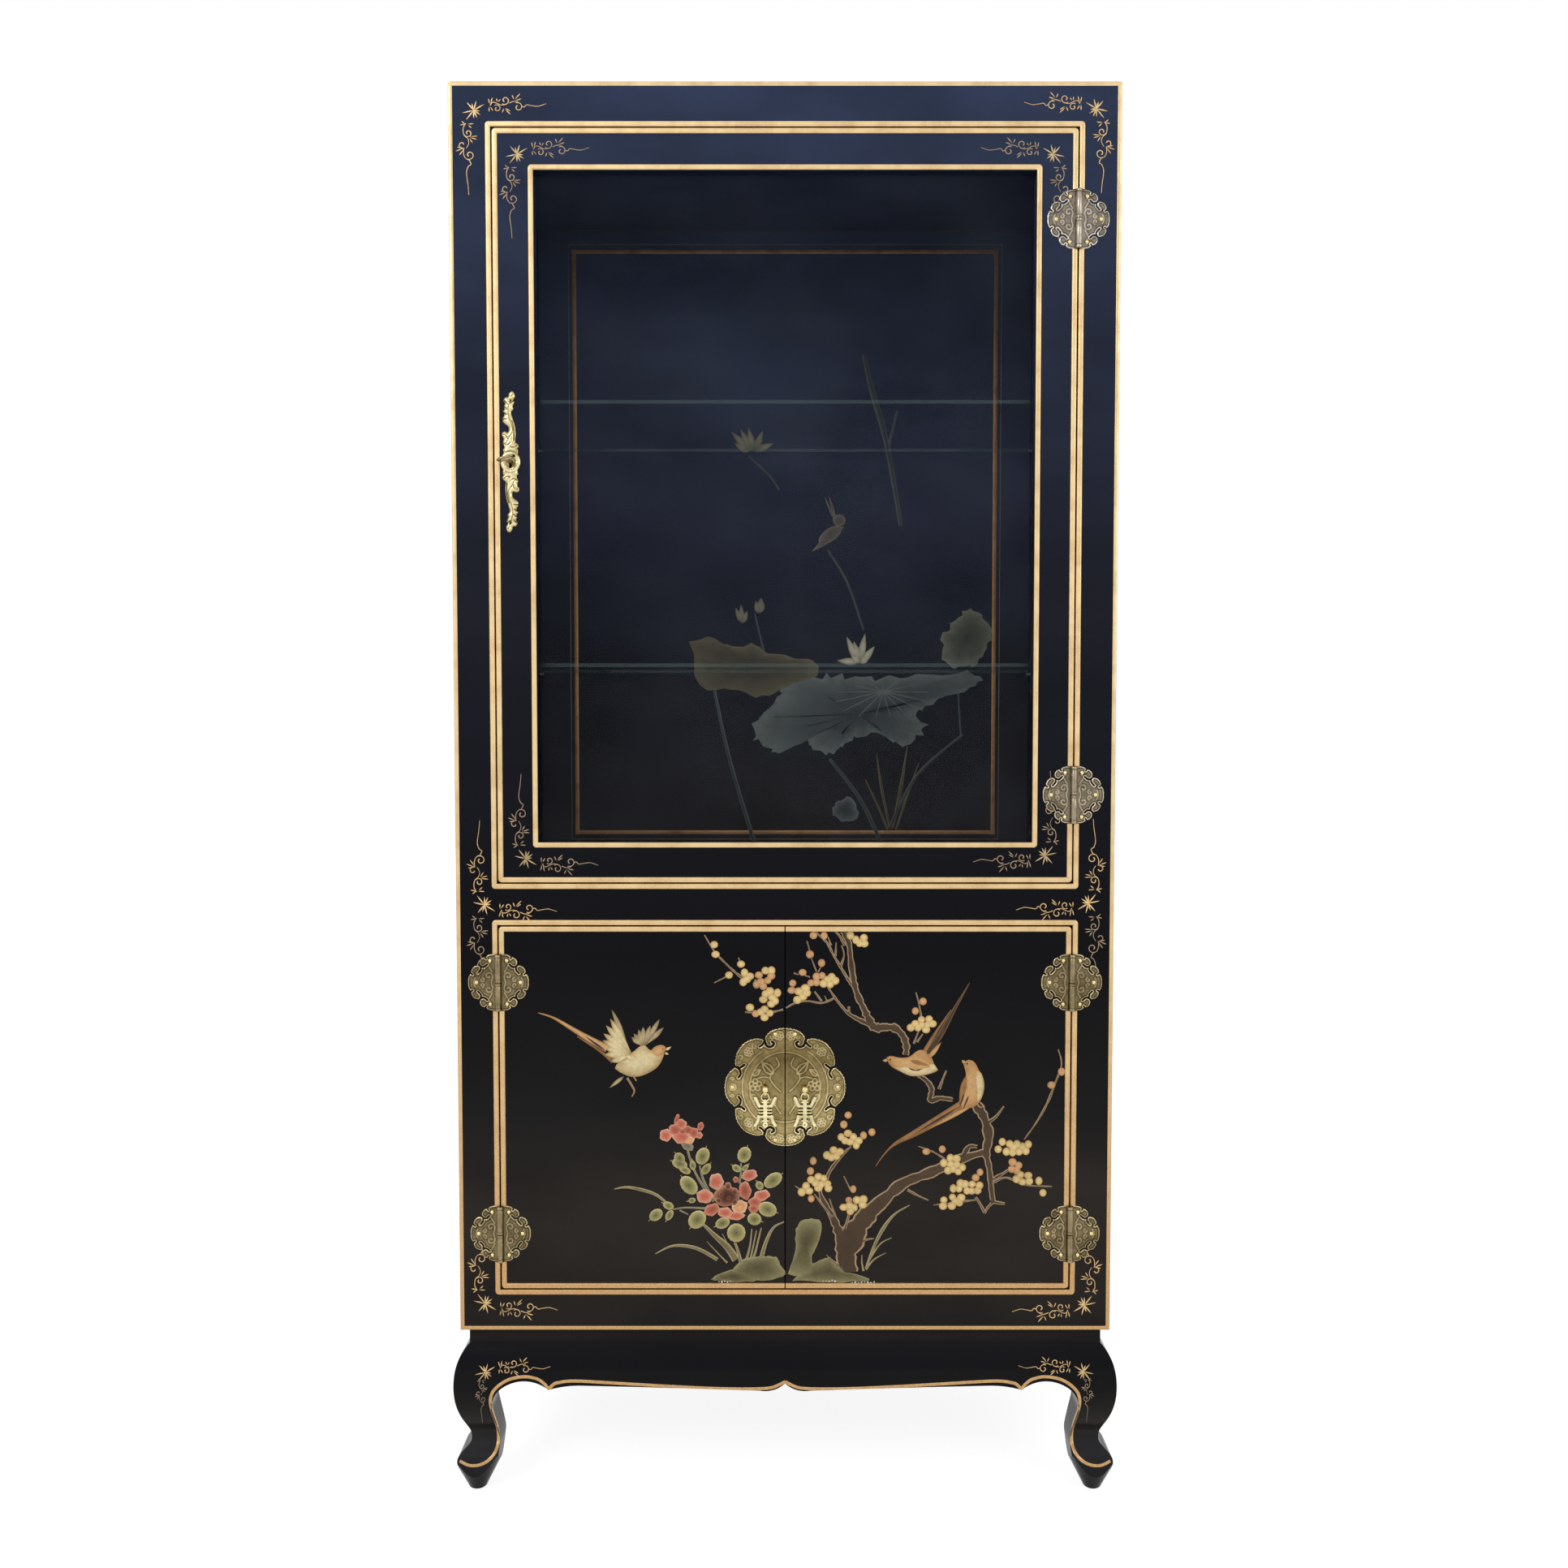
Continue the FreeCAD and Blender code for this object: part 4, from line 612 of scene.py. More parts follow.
DOWN_ARM_PX = (
    (
        ((-10, 16), (-12.6, 21), (-13, 26), (-11.6, 31), (-8, 34), (-6.2, 38), (-6.5, 42), (-9, 46.5)),
        ((-12.4, 47), (-12.4, 54), (-10, 59), (-6.5, 61)),
        ((-5.6, 61), (-3.3, 66.5), (-6.5, 69), (-8.7, 75.4), (-8.2, 83.4), (-6.9, 92.4), (-6, 104)),
    ),
    ((-6.9, 28.1, 5.0, 150, -220), (-14, 42.4, 5.1, 60, 350), (-5.1, 55, 5.8, 120, -240)),
    (
        (-10, 17, -17.2, 18.3), (-10, 18, -15, 13), (-8, 17, 0.3, 16.5), (-7, 18, -2.4, 22),
        (-5, 32.6, 5.2, 31.7), (-5, 33.4, 4.3, 36), (-5.4, 34, -1.1, 40.6), (-12.7, 46, -20.7, 45.5),
        (-13, 47, -22.5, 50.5), (-12.4, 48, -18, 55.8),
    ),
)
BOTH_ARMS_PX = (ACROSS_ARM_PX, DOWN_ARM_PX)


def corner_ornament(work, px, py, right, down, tone, arms=BOTH_ARMS_PX, star=True, scale=1.0):
    """A star with scrolling arms, which right and down turn left or up where they are -1."""
    def turned(points):
        return [work.px(px + right * scale * dx, py + down * scale * dy) for dx, dy in points]

    unit = pixel_length(work.y) * scale
    if star:
        for dx, dy in STAR_PETALS_PX:
            foot, tip = turned([(-0.12 * dx, -0.12 * dy), (dx, dy)])
            work.patch(leaf_outline(foot, tip, 1.7 * unit, 6, 1.0), tone, blended(tone, PALE_GOLD, 0.5))
    for stems, spirals, leaves in arms:
        for stem in stems:
            work.stroke(smooth_line(turned(stem), 4), (0.6 * unit, 0.35 * unit), tone)
        for x, y, radius, start, end in spirals:
            line = ring_line(x, y, radius, start, end, 20, 0.3 * radius)
            work.stroke(turned(line), (0.5 * unit, 0.75 * unit), tone)
        for foot_x, foot_y, tip_x, tip_y in leaves:
            foot, tip = turned([(foot_x, foot_y), (tip_x, tip_y)])
            work.patch(leaf_outline(foot, tip, 1.4 * unit, 5, 1.3), tone)


# Where the stars stand, and which way their arms run; the middle ones of the case have a dim arm more
CASE_STARS_PX = (
    (583.7, 136, 1, 1), (1351, 134, -1, 1), (597, 1115, 1, -1), (1341, 1113, -1, -1), (598, 1606, 1, -1),
    (1336, 1608, -1, -1),
)
MIDDLE_STARS_PX = CASE_STARS_PX[2:4]
DOOR_STARS_PX = ((637, 190, 1, 1), (1298, 190, -1, 1), (648, 1058, 1, -1), (1288, 1054, -1, -1))
KNEE_STARS_PX = ((598, 1691, 1), (1335, 1690, -1))
KNEE_ACROSS_SCALE = 0.9
KNEE_DOWN_SCALE = 0.6

frame_work = Brushwork("frame_ornament", FACE_Y, "root", gold_paint)
for star in CASE_STARS_PX:
    corner_ornament(frame_work, *star, GOLD)
for px, py, right, down in MIDDLE_STARS_PX:
    corner_ornament(frame_work, px, py, right, -down, DIM_GOLD, (DOWN_ARM_PX,), star=False)
frame_work.finish()
door_work = Brushwork("glass_door_ornament", FACE_Y, "glass_door", gold_paint)
for star in DOOR_STARS_PX:
    corner_ornament(door_work, *star, DIM_GOLD)
door_work.finish()

# Gold line round the front of the case
LINE_HALF = 2.7 * MM
line_work = Brushwork("case_gold_line", FACE_Y, "root", gilt)
line_left = CASE_LOW.x + LINE_HALF
line_work.rectangle(line_left, CASE_LOW.z + LINE_HALF, -line_left, CASE_HIGH.z - LINE_HALF, LINE_HALF, GOLD)
line_work.finish()


# The stand: a gold line along its lower edge, and a star on each knee
def surface_of(*names):
    """The joined surface of some CAD nodes, for what is painted on them."""
    spots = []
    faces = []
    for name in names:
        base = len(spots)
        data = NODES[name].data
        spots += [NODES[name].matrix_world @ vertex.co for vertex in data.vertices]
        faces += [[base + corner for corner in face.vertices] for face in data.polygons]
    return BVHTree.FromPolygons(spots, faces)


STAND_LINE_PX = (
    (566.5, 1800), (575, 1804.6), (583, 1806), (592, 1804.6), (601, 1800), (608, 1792.5), (612.5, 1783),
    (614.3, 1773), (613, 1758.6), (607.6, 1742), (604.5, 1731), (604.6, 1722), (608.6, 1713), (619, 1704),
    (631.8, 1698.4), (648.4, 1696.4), (662.4, 1699.4), (670, 1704.5), (676.3, 1710.5), (681, 1706.6),
    (686.7, 1704), (708, 1701.6), (760, 1704.4), (815, 1707.6), (871, 1710.4), (915, 1711.4), (945, 1710.6),
    (957, 1707.6), (967.3, 1702.4),
)
STAND_LINE_HALF_PX = 2.1
stand = surface_of("apron_front", "leg_front_left", "leg_front_right")
stand_line = Brushwork("stand_gold_line", FACE_Y, "root", gilt, surface=stand)
stand_line_half = STAND_LINE_HALF_PX * pixel_length(FACE_Y)
for hand in (1, -1):
    side_points = [(CENTRE_X_PX + hand * (x - CENTRE_X_PX), y) for x, y in STAND_LINE_PX]
    stand_line.stroke(smooth_line(stand_line.pxs(side_points)), stand_line_half, GOLD)
stand_line.finish()
stand_work = Brushwork("stand_ornament", FACE_Y, "root", gold_paint, surface=stand)
for star in KNEE_STARS_PX:
    corner_ornament(stand_work, *star, 1, GOLD, (ACROSS_ARM_PX,), scale=KNEE_ACROSS_SCALE)
    corner_ornament(stand_work, *star, 1, DIM_GOLD, (DOWN_ARM_PX,), star=False, scale=KNEE_DOWN_SCALE)
stand_work.finish()


# Plates and drops worked in relief, in millimetres about each piece's own middle
def to_line(x, z, line):
    """Distances from grid points to a line."""
    best = np.full(x.shape, FAR)
    for (ax, az), (bx, bz) in zip(line, line[1:]):
        dx = bx - ax
        dz = bz - az
        share = np.clip(((x - ax) * dx + (z - az) * dz) / max(dx * dx + dz * dz, TINY), 0, 1)
        best = np.minimum(best, np.hypot(x - ax - share * dx, z - az - share * dz))
    return best


def inside_of(x, z, outline):
    """How far grid points lie inside a closed outline, and below zero outside it."""
    loop = outline + outline[:1]
    inside = np.zeros(x.shape, bool)
    for (ax, az), (bx, bz) in zip(loop, loop[1:]):
        if az != bz:
            inside ^= ((az > z) != (bz > z)) & (x < ax + (z - az) * (bx - ax) / (bz - az))
    return np.where(inside, 1, -1) * to_line(x, z, loop)


def band(value, centre, width):
    """One where the value is at the centre, falling off to nought within about twice the width."""
    return np.exp(-((value - centre) / width) ** 2)


def grid(x_low, x_high, z_low, z_high, step):
    columns = np.arange(x_low, x_high + step, step)
    rows = np.arange(z_low, z_high + step, step)
    return np.meshgrid(columns, rows, indexing="ij")


class Solid:
    """Points, faces and tones of one closed form, in millimetres."""

    def __init__(self):
        self.spots = []
        self.faces = []
        self.tones = []

    def add(self, spots, faces, tones):
        base = len(self.spots)
        self.spots += spots
        self.faces += [tuple(base + corner for corner in face) for face in faces]
        self.tones += tones

    def box(self, low, high, tone):
        spots = [(x, y, z) for x in (low[0], high[0]) for y in (low[1], high[1]) for z in (low[2], high[2])]
        faces = [(0, 1, 3, 2), (4, 6, 7, 5), (0, 4, 5, 1), (2, 3, 7, 6), (0, 2, 6, 4), (1, 5, 7, 3)]
        self.add(spots, faces, [tone] * len(spots))

    def turned(self, x, y, profile, steps=24):
        """A turned form about an upright axis: heights, radii and tones."""
        spots = []
        faces = []
        tones = []
        for ring, (z, radius, tone) in enumerate(profile):
            for step in range(steps):
                angle = 2 * math.pi * step / steps
                spots.append((x + radius * math.cos(angle), y + radius * math.sin(angle), z))
                tones.append(tone)
                if ring:
                    low = (ring - 1) * steps
                    after = (step + 1) % steps
                    faces.append((low + step, low + after, low + steps + after, low + steps + step))
        faces.append(tuple(range(steps)))
        faces.append(tuple(range(len(spots) - steps, len(spots))))
        self.add(spots, faces, tones)

    def ring(self, x, y, z, radius, wire, tone, steps=28, round_steps=10):
        """A ring of round wire that hangs in an upright plane facing -Y."""
        spots = []
        faces = []
        for step in range(steps):
            turn = 2 * math.pi * step / steps
            for part in range(round_steps):
                angle = 2 * math.pi * part / round_steps
                reach = radius + wire * math.cos(angle)
                forward = wire * math.sin(angle)
                spots.append((x + reach * math.cos(turn), y + forward, z + reach * math.sin(turn)))
                here = step * round_steps
                next_ring = (step + 1) % steps * round_steps
                after = (part + 1) % round_steps
                faces.append((here + part, here + after, next_ring + after, next_ring + part))
        self.add(spots, faces, [tone] * len(spots))

    def sheet(self, x, z, field, rise, tone, back):
        """The part of a grid where the field is above zero, from its back to its rise in front."""
        spots = []
        faces = []
        tones = []
        known = {}

        def mark(first, second=None):
            """The front point at a grid point, or where the edge crosses between two of them."""
            key = (first, second) if second is None or first < second else (second, first)
            if key not in known:
                share = 0.0
                if second is not None:
                    share = field[first] / (field[first] - field[second])
                other = second or first
                at_x, at_z, front_y, back_y, level = (
                    float(a[first] + (a[other] - a[first]) * share) for a in (x, z, rise, back, tone)
                )
                known[key] = len(spots)
                spots.extend(((at_x, -front_y, at_z), (at_x, back_y, at_z)))
                tones.extend((level, level))
            return known[key]

        wide, tall = field.shape
        for i in range(wide - 1):
            for j in range(tall - 1):
                ring = ((i, j), (i + 1, j), (i + 1, j + 1), (i, j + 1))
                within = [field[corner] > 0 for corner in ring]
                if not any(within):
                    continue
                front = []
                leaving = []
                entering = []
                for turn in range(4):
                    after = (turn + 1) % 4
                    if within[turn]:
                        front.append(mark(ring[turn]))
                    if within[turn] != within[after]:
                        edge = mark(ring[turn], ring[after])
                        front.append(edge)
                        (leaving if within[turn] else entering).append((turn, edge))
                faces.append(tuple(front))
                faces.append(tuple(corner + 1 for corner in reversed(front)))
                for turn, out in leaving:
                    back_in = min(entering, key=lambda item: (item[0] - turn) % 4)[1]
                    faces.append((back_in, out, out + 1, back_in + 1))
        self.add(spots, faces, tones)

    def at(self, x, y, z, flip=1):
        """The form's world points with its middle at a place, mirrored left to right if flip is -1."""
        return [(x + flip * a * MM, y + b * MM, z + c * MM) for a, b, c in self.spots]


def relief_piece(name, parts, material, body, slot, *nodes):
    """One piece from solids at their places, standing for CAD nodes."""
    whole = Solid()
    for solid, *place in parts:
        whole.add(solid.at(*place), solid.faces, solid.tones)
    item = mesh_piece(name, whole.spots, whole.faces, material, body, relief=whole.tones)
    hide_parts(*nodes)


PLATE_THICK = 1.6
# Chased lines: their width, and the distance and width of the grooves beside them
LINE_WIDTH = 0.75
SIDE_GROOVE = (1.7, 0.6)
# Inwards from a plate's edge: the bevel, the bright rim, the groove, and where the field sinks
BEVEL_WIDTH = 0.7
BEVEL_FOOT = 0.4
RIM_WIDTH = 1.8
RIM_GROOVE = (2.1, 0.6)
FIELD_START = 1.9
FIELD_RUN = 2.0
# How deep the grooves and the field lie, and the least thickness
RIM_GROOVE_DEPTH = 0.35
SIDE_GROOVE_DEPTH = 0.2
FIELD_DEPTH = 0.15
THINNEST = 0.3
# How much brighter than the field a line is, and how much darker the grooves are
LINE_BRIGHTER = 0.42
RIM_GROOVE_DARKER = 0.4
SIDE_GROOVE_DARKER = 0.2


def plate_edge(lobes):
    """A cloud-edged outline, symmetrical both ways, from the lobes of its upper right quarter."""
    quarter = [spot for lobe in lobes for spot in smooth_line(lobe, 4)]
    right = quarter + [(x, -z) for x, z in reversed(quarter[:-1])]
    return right + [(-x, z) for x, z in reversed(right[1:-1])]


def nearest(x, z, lines):
    """Distances from grid points to the nearest of some lines."""
    return np.minimum.reduce([to_line(x, z, line) for line in lines])


def worked_plate(x, z, outline, notches, chased, keep, field_tone):
    """A plate's solid: a bright bevelled rim, a groove inside it, and chased lines in the field.

    It is made only where keep is above zero."""
    edge = inside_of(x, z, outline)
    for notch, half in notches:
        edge = np.minimum(edge, nearest(x, z, both_ways(smooth_line(notch, 4))) - half)
    away = nearest(x, z, chased)
    drawn = band(away, 0, LINE_WIDTH)
    beside = band(away, *SIDE_GROOVE)
    groove = band(edge, *RIM_GROOVE)
    rim = np.clip(RIM_WIDTH - edge, 0, 1)
    bevel = BEVEL_FOOT + (1 - BEVEL_FOOT) * np.clip(edge / BEVEL_WIDTH, 0, 1)
    sunk = FIELD_DEPTH * np.clip((edge - FIELD_START) / FIELD_RUN, 0, 1)
    rise = PLATE_THICK * bevel - RIM_GROOVE_DEPTH * groove - SIDE_GROOVE_DEPTH * beside - sunk
    tone = field_tone + (1 - field_tone) * rim - RIM_GROOVE_DARKER * groove * (1 - rim)
    tone = tone + LINE_BRIGHTER * drawn - SIDE_GROOVE_DARKER * beside
    solid = Solid()
    field = np.minimum(edge, keep)
    solid.sheet(x, z, field, np.maximum(rise, THINNEST), np.clip(tone, 0, 1), np.zeros(x.shape))
    return solid


# Hinges: a cloud-edged leaf on each side of a barrel of two knuckles
HINGE_LOBES = (
    ((0, 38.2), (5.3, 38.1), (11.5, 37.6), (14.8, 36.2), (17.0, 34.0)),
    ((17.0, 34.0), (21.4, 33), (24.5, 29.8), (25.1, 26), (24.2, 22.8)),
    ((24.2, 22.8), (28, 22.7), (33, 21), (35.9, 16.9), (36.7, 12)),
    ((36.7, 12), (39.3, 8.9), (40.5, 4.4), (40.7, 0)),
)
# Each notch: its line, and half its width
HINGE_NOTCHES = (
    (((26.8, 25.2), (23.8, 21.6), (19.3, 20.7), (15.2, 24.0)), 1.15),
    (((23.8, 21.6), (23.8, 16.8), (27.6, 12.3)), 1.1),
    (((18.6, 35.6), (16.4, 32.0)), 0.9), (((38.4, 13.2), (34.6, 10.5)), 0.9),
)
# Chased lines: curls as ring_line takes them and a vine, which are mirrored below, and two arcs
HINGE_CURLS = ((13, 9, 5.4, 200, -160, 18, 1.4), (22, 3.6, 3.4, 100, 420, 14, 1.0))
HINGE_VINE = ((9.5, 28), (13, 24), (11, 19), (8, 14))
HINGE_ARCS = (((7.5, -7), (9.5, 0), (7.5, 7)), ((31, -6), (33, 0), (31, 6)))
HINGE_HALF = 38.2
HINGE_GRID = (-0.35, 41.4, -38.6, 38.6, 0.7)
HINGE_FIELD_TONE = 0.38
BARREL_RADIUS = 4.25
BARREL_Y = -4.6
LEAF_EDGE = 0.4
KNUCKLE_GAP = 0.15
WEB_BACK = -0.8
WEB_TONE = 0.35
HINGE_SPACING = 20 * MM
# A knuckle's rings: height from its foot, or from its top where that is below zero, radius and tone
KNUCKLE_RINGS = (
    (0, 3.6, 0.2), (0.4, BARREL_RADIUS, 0.5), (3.2, BARREL_RADIUS, 0.6), (3.8, 3.9, 0.1),
    (4.4, BARREL_RADIUS, 0.6), (-4.8, BARREL_RADIUS, 0.6), (-4.2, 3.8, 0.1), (-3.4, BARREL_RADIUS, 0.6),
    (-0.9, BARREL_RADIUS, 0.8), (-0.3, 3.6, 0.6), (-0.05, 2.6, 0.4),
)


def hinge_chasing():
    """Chased lines on a leaf, right of the barrel."""
    lines = both_ways(smooth_line(HINGE_VINE, 4))
    for curl in HINGE_CURLS:
        lines += both_ways(ring_line(*curl))
    return lines + [smooth_line(arc, 4) for arc in HINGE_ARCS]


def hinge_leaf(own):
    """The leaf right of the barrel; own is 1 where it has the upper knuckle and -1 for the lower."""
    x, z = grid(*HINGE_GRID)
    # the other leaf's knuckle turns past this leaf's edge
    room = np.where(own * z > 0, x - LEAF_EDGE, x - BARREL_RADIUS)
    tones = np.full(x.shape, HINGE_FIELD_TONE)
    solid = worked_plate(x, z, plate_edge(HINGE_LOBES), HINGE_NOTCHES, hinge_chasing(), room, tones)
    profile = []
    for height, radius, tone in KNUCKLE_RINGS:
        profile.append((own * (height + (HINGE_HALF if height < 0 else KNUCKLE_GAP)), radius, tone))
    solid.turned(0, BARREL_Y, profile)
    web_low, web_high = sorted((own * KNUCKLE_GAP, own * HINGE_HALF))
    solid.box((LEAF_EDGE, BARREL_Y, web_low), (BARREL_RADIUS, WEB_BACK, web_high), WEB_TONE)
    return solid


def hinge_heights(node):
    """The middles of the hinges of a door, from the heights of its leaves' solids."""
    groups = []
    for height in sorted({round(vertex.co.z, 5) for vertex in NODES[node].data.vertices}):
        if groups and height - groups[-1][-1] < HINGE_SPACING:
            groups[-1].append(height)
        else:
            groups.append([height])
    return [(group[0] + group[-1]) / 2 for group in groups]


# The pins' box reaches past the middle of the outermost pin by its radius
PIN_RADIUS = 2 * MM
HINGE_X = abs(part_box("hinge_pins")[0].x + PIN_RADIUS)
door_leaf, frame_leaf = (hinge_leaf(own) for own in (1, -1))
HINGES = [(door, side, height) for door, side in (("glass_door", 1), ("left_door", -1), ("right_door", 1))
          for height in hinge_heights(door + "_hinge_leaves")]
leaves = [(frame_leaf, side * HINGE_X, FACE_Y, height, side) for door, side, height in HINGES]
relief_piece("frame_hinge_relief", leaves, aged_brass, "root", "antique_brass", "frame_hinge_leaves")
for door in ("glass_door", "left_door", "right_door"):
    spots = [(side, height) for on, side, height in HINGES if on == door]
    leaves = [(door_leaf, side * HINGE_X, FACE_Y, height, -side) for side, height in spots]
    relief_piece(door + "_hinge_relief", leaves, aged_brass, door, "antique_brass", door + "_hinge_leaves")

# Lock plate: a round cloud-edged plate in two halves, split along the seam between the doors
PLATE_LOBES = (
    ((0, 80.9), (10.3, 79.7), (20.2, 75.8), (26.2, 69.2), (27.4, 64.4)),
    ((27.4, 64.4), (33, 66), (40, 66.3), (53.7, 61.2), (63.6, 49.8), (67.2, 38.5), (67.4, 29)),
    ((67.4, 29), (71, 24.2), (75.6, 20), (80.3, 11.4), (82, 0)),
)
PLATE_NOTCHES = (
    (((29.4, 68), (27.2, 62.4), (25.4, 57), (21, 54.6), (16.6, 56), (15.0, 59.4), (17.6, 61.6)), 1.5),
    (((27.2, 62.4), (30.4, 57.6), (34.2, 55)), 1.3),
    (((70.6, 29.6), (65.6, 27.4), (60, 26.6), (54.8, 30.4)), 1.5),
    (((65.6, 27.4), (61.4, 23.6), (59.6, 18.2), (62.6, 13)), 1.3),
)
PLATE_GRID = (-0.2, 82.8, -82, 82, 0.75)
PLATE_RING = 47.5
OUTER_RING = 57.5
OUTER_RING_END = 58
SEAM_HALF = 0.75
SCALLOP_PITCH = 4.7
SCALLOP_DEPTH = 0.7
OUTLINE_STEP = 0.9
# The field inside the ring is darker, most of all above
PLATE_INNER_TONE = 0.36
PLATE_TONE_CHANGE = 0.03
PLATE_TONE_RUN = 20
PLATE_OUTER_TONE = 0.45
# Chased lines: leaves as foot, tip and width, vines as points, and scrolls as ring_line takes them
PLATE_LEAVES = (
    ((16, 18), (31, 34), 11), ((12, -16), (30, -30), 10), ((44, 16), (33, 24), 7), ((47, -10), (36, -20), 7),
)
PLATE_VINES = (
    ((6, -6), (14, 2), (20, 12), (16, 22), (8, 30), (12, 40)),
    ((31, 3), (24, -4), (22, -14), (14, -24), (6, -36)),
)
PLATE_TWIG = ((20, 12), (28, 14), (36, 12))
PLATE_SCROLLS = (
    (40.5, 55.5, 4, 60, -260, 12, 1.2), (59.5, 40, 4.4, -20, 300, 12, 1.2), (71, 11, 3, 0, 320, 10, 0.9),
    (17, 68, 3.2, 30, -280, 10, 0.9),
)
# Blossoms: middle, radius and number of petals. As shares of the radius: the size of the eye and the
# petals, and how far out the petals lie; as a share of a petal's turn: where the first one lies
BLOSSOM_EYE = 0.3
BLOSSOM_PETAL = 0.36
BLOSSOM_REACH = 0.66
BLOSSOM_START = 0.25
PLATE_BLOSSOMS = (
    (40, 3, 8.5, 5), (49, 48, 6, 6), (49, -48, 6, 6), (70, 0, 4.4, 6), (8, 70, 6, 6), (8, -70, 6, 6),
)


def scalloped(outline, pitch, depth):
    """The outline with a fine scalloped edge."""
    travelled = 0.0
    edge = []
    for (x, z), (after_x, after_z) in zip(outline, outline[1:] + outline[:1]):
        pull = 1 - depth * abs(math.cos(math.pi * travelled / pitch)) / math.hypot(x, z)
        edge.append((x * pull, z * pull))
        travelled += math.hypot(after_x - x, after_z - z)
    return edge


def finely(outline, step):
    """The outline with points no further apart than a step."""
    points = []
    for (ax, az), (bx, bz) in zip(outline, outline[1:] + outline[:1]):
        parts = max(1, math.ceil(math.hypot(bx - ax, bz - az) / step))
        points += [(ax + (bx - ax) * part / parts, az + (bz - az) * part / parts) for part in range(parts)]
    return points


def plate_chasing():
    """Flowers, leaves and vines about the plate's middle, and scrolls in its lobes."""
    lines = [ring_line(0, 0, PLATE_RING, -90, 90, 40)]
    lines.append(ring_line(0, 0, OUTER_RING, -OUTER_RING_END, OUTER_RING_END, 30))
    for x, z, radius, petals in PLATE_BLOSSOMS:
        lines.append(ring_line(x, z, BLOSSOM_EYE * radius, steps=10))
        reach = BLOSSOM_REACH * radius
        for petal in range(petals):
            turn = 2 * math.pi * (petal + BLOSSOM_START) / petals
            spot = (x + reach * math.cos(turn), z + reach * math.sin(turn))
            lines.append(ring_line(*spot, BLOSSOM_PETAL * radius, steps=10))
    for foot, tip, width in PLATE_LEAVES:
        outline = leaf_outline(foot, tip, width, 6, 0.8)
        lines += [outline + outline[:1], [foot, tip]]
    lines += [smooth_line(vine) for vine in PLATE_VINES]
    lines.append(smooth_line(PLATE_TWIG, 4))
    for scroll in PLATE_SCROLLS:
        lines += both_ways(ring_line(*scroll))
    return lines


def lock_plate_half():
    x, z = grid(*PLATE_GRID)
    outline = scalloped(finely(plate_edge(PLATE_LOBES), OUTLINE_STEP), SCALLOP_PITCH, SCALLOP_DEPTH)
    inner_tone = PLATE_INNER_TONE - PLATE_TONE_CHANGE * np.clip(z / PLATE_TONE_RUN, -1, 1)
    field_tone = np.where(np.hypot(x, z) < PLATE_RING, inner_tone, PLATE_OUTER_TONE)
    return worked_plate(x, z, outline, PLATE_NOTCHES, plate_chasing(), x - SEAM_HALF, field_tone)


plate_low, plate_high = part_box("left_door_lock_plate")
plate_half = lock_plate_half()
for door, side in (("left_door", -1), ("right_door", 1)):
    place = (plate_half, 0, FACE_Y, (plate_low.z + plate_high.z) / 2, side)
    relief_piece(door + "_lock_relief", [place], plate_brass, door, "antique_brass", door + "_lock_plate")

# Drop pulls: a ring and, below it, an openwork of bars between horns and splayed legs
RING_RADIUS = 5.2
RING_WIRE = 1.05
DROP_HALF_THICK = 1.3
DROP_GRID = (-16.2, 16.2, -47.2, -3.9, 0.45)
# Bars: height, half length and half thickness; limbs: their bends
DROP_BARS = (
    (-12.1, 3.8, 1.2), (-17.2, 7.6, 1.7), (-22.3, 8.2, 1.15), (-26.4, 8.2, 1.15), (-31.4, 9.0, 1.6),
    (-37.3, 3.8, 1.2),
)
DROP_LIMBS = (
    ((13.4, -6.6), (11.6, -9.4), (10.2, -13), (8.0, -17.2)),
    ((8.8, -31.4), (9.6, -35.4), (11.2, -39.6), (13.4, -43.4)),
)
LIMB_HALF = 2.2
DROP_SPINE = ((0, -10.4), (0, -44.4))
SPINE_HALF = 2.5
DROP_BOSS_Z = -42.6
DROP_BOSS_RADIUS = 3.9
DROP_HOLE_RADIUS = 0.9
DROP_ROUND_EDGE = 1.2
RING_TONE = 0.8


def drop_pull():
    x, z = grid(*DROP_GRID)
    field = SPINE_HALF - to_line(x, z, DROP_SPINE)
    for height, half, thick in DROP_BARS:
        field = np.maximum(field, thick - to_line(x, z, ((-half, height), (half, height))))
    for limb in DROP_LIMBS:
        line = smooth_line(limb, 4)
        field = np.maximum(field, LIMB_HALF - nearest(x, z, [line, flipped(line, flip_x=-1)]))
    from_boss = np.hypot(x, z - DROP_BOSS_Z)
    field = np.minimum(np.maximum(field, DROP_BOSS_RADIUS - from_boss), from_boss - DROP_HOLE_RADIUS)
    inwards = np.clip(field / DROP_ROUND_EDGE, 0, 1)
    dome = DROP_HALF_THICK * np.sqrt(np.clip(1 - (1 - inwards) ** 2, 0.12, 1))
    solid = Solid()
    solid.sheet(x, z, field, dome, np.clip(0.72 + 0.3 * field, 0, 1), dome)
    solid.ring(0, 0, -RING_RADIUS, RING_RADIUS, RING_WIRE, RING_TONE)
    return solid


drop = drop_pull()
for door in ("left_door", "right_door"):
    low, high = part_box(door + "_pull")
    place = (drop, (low.x + high.x) / 2, (low.y + high.y) / 2, high.z - RING_WIRE * MM)
    body = door.replace("_door", "_pull")
    relief_piece(door + "_drop", [place], bright_brass, body, "bright_brass", door + "_pull")

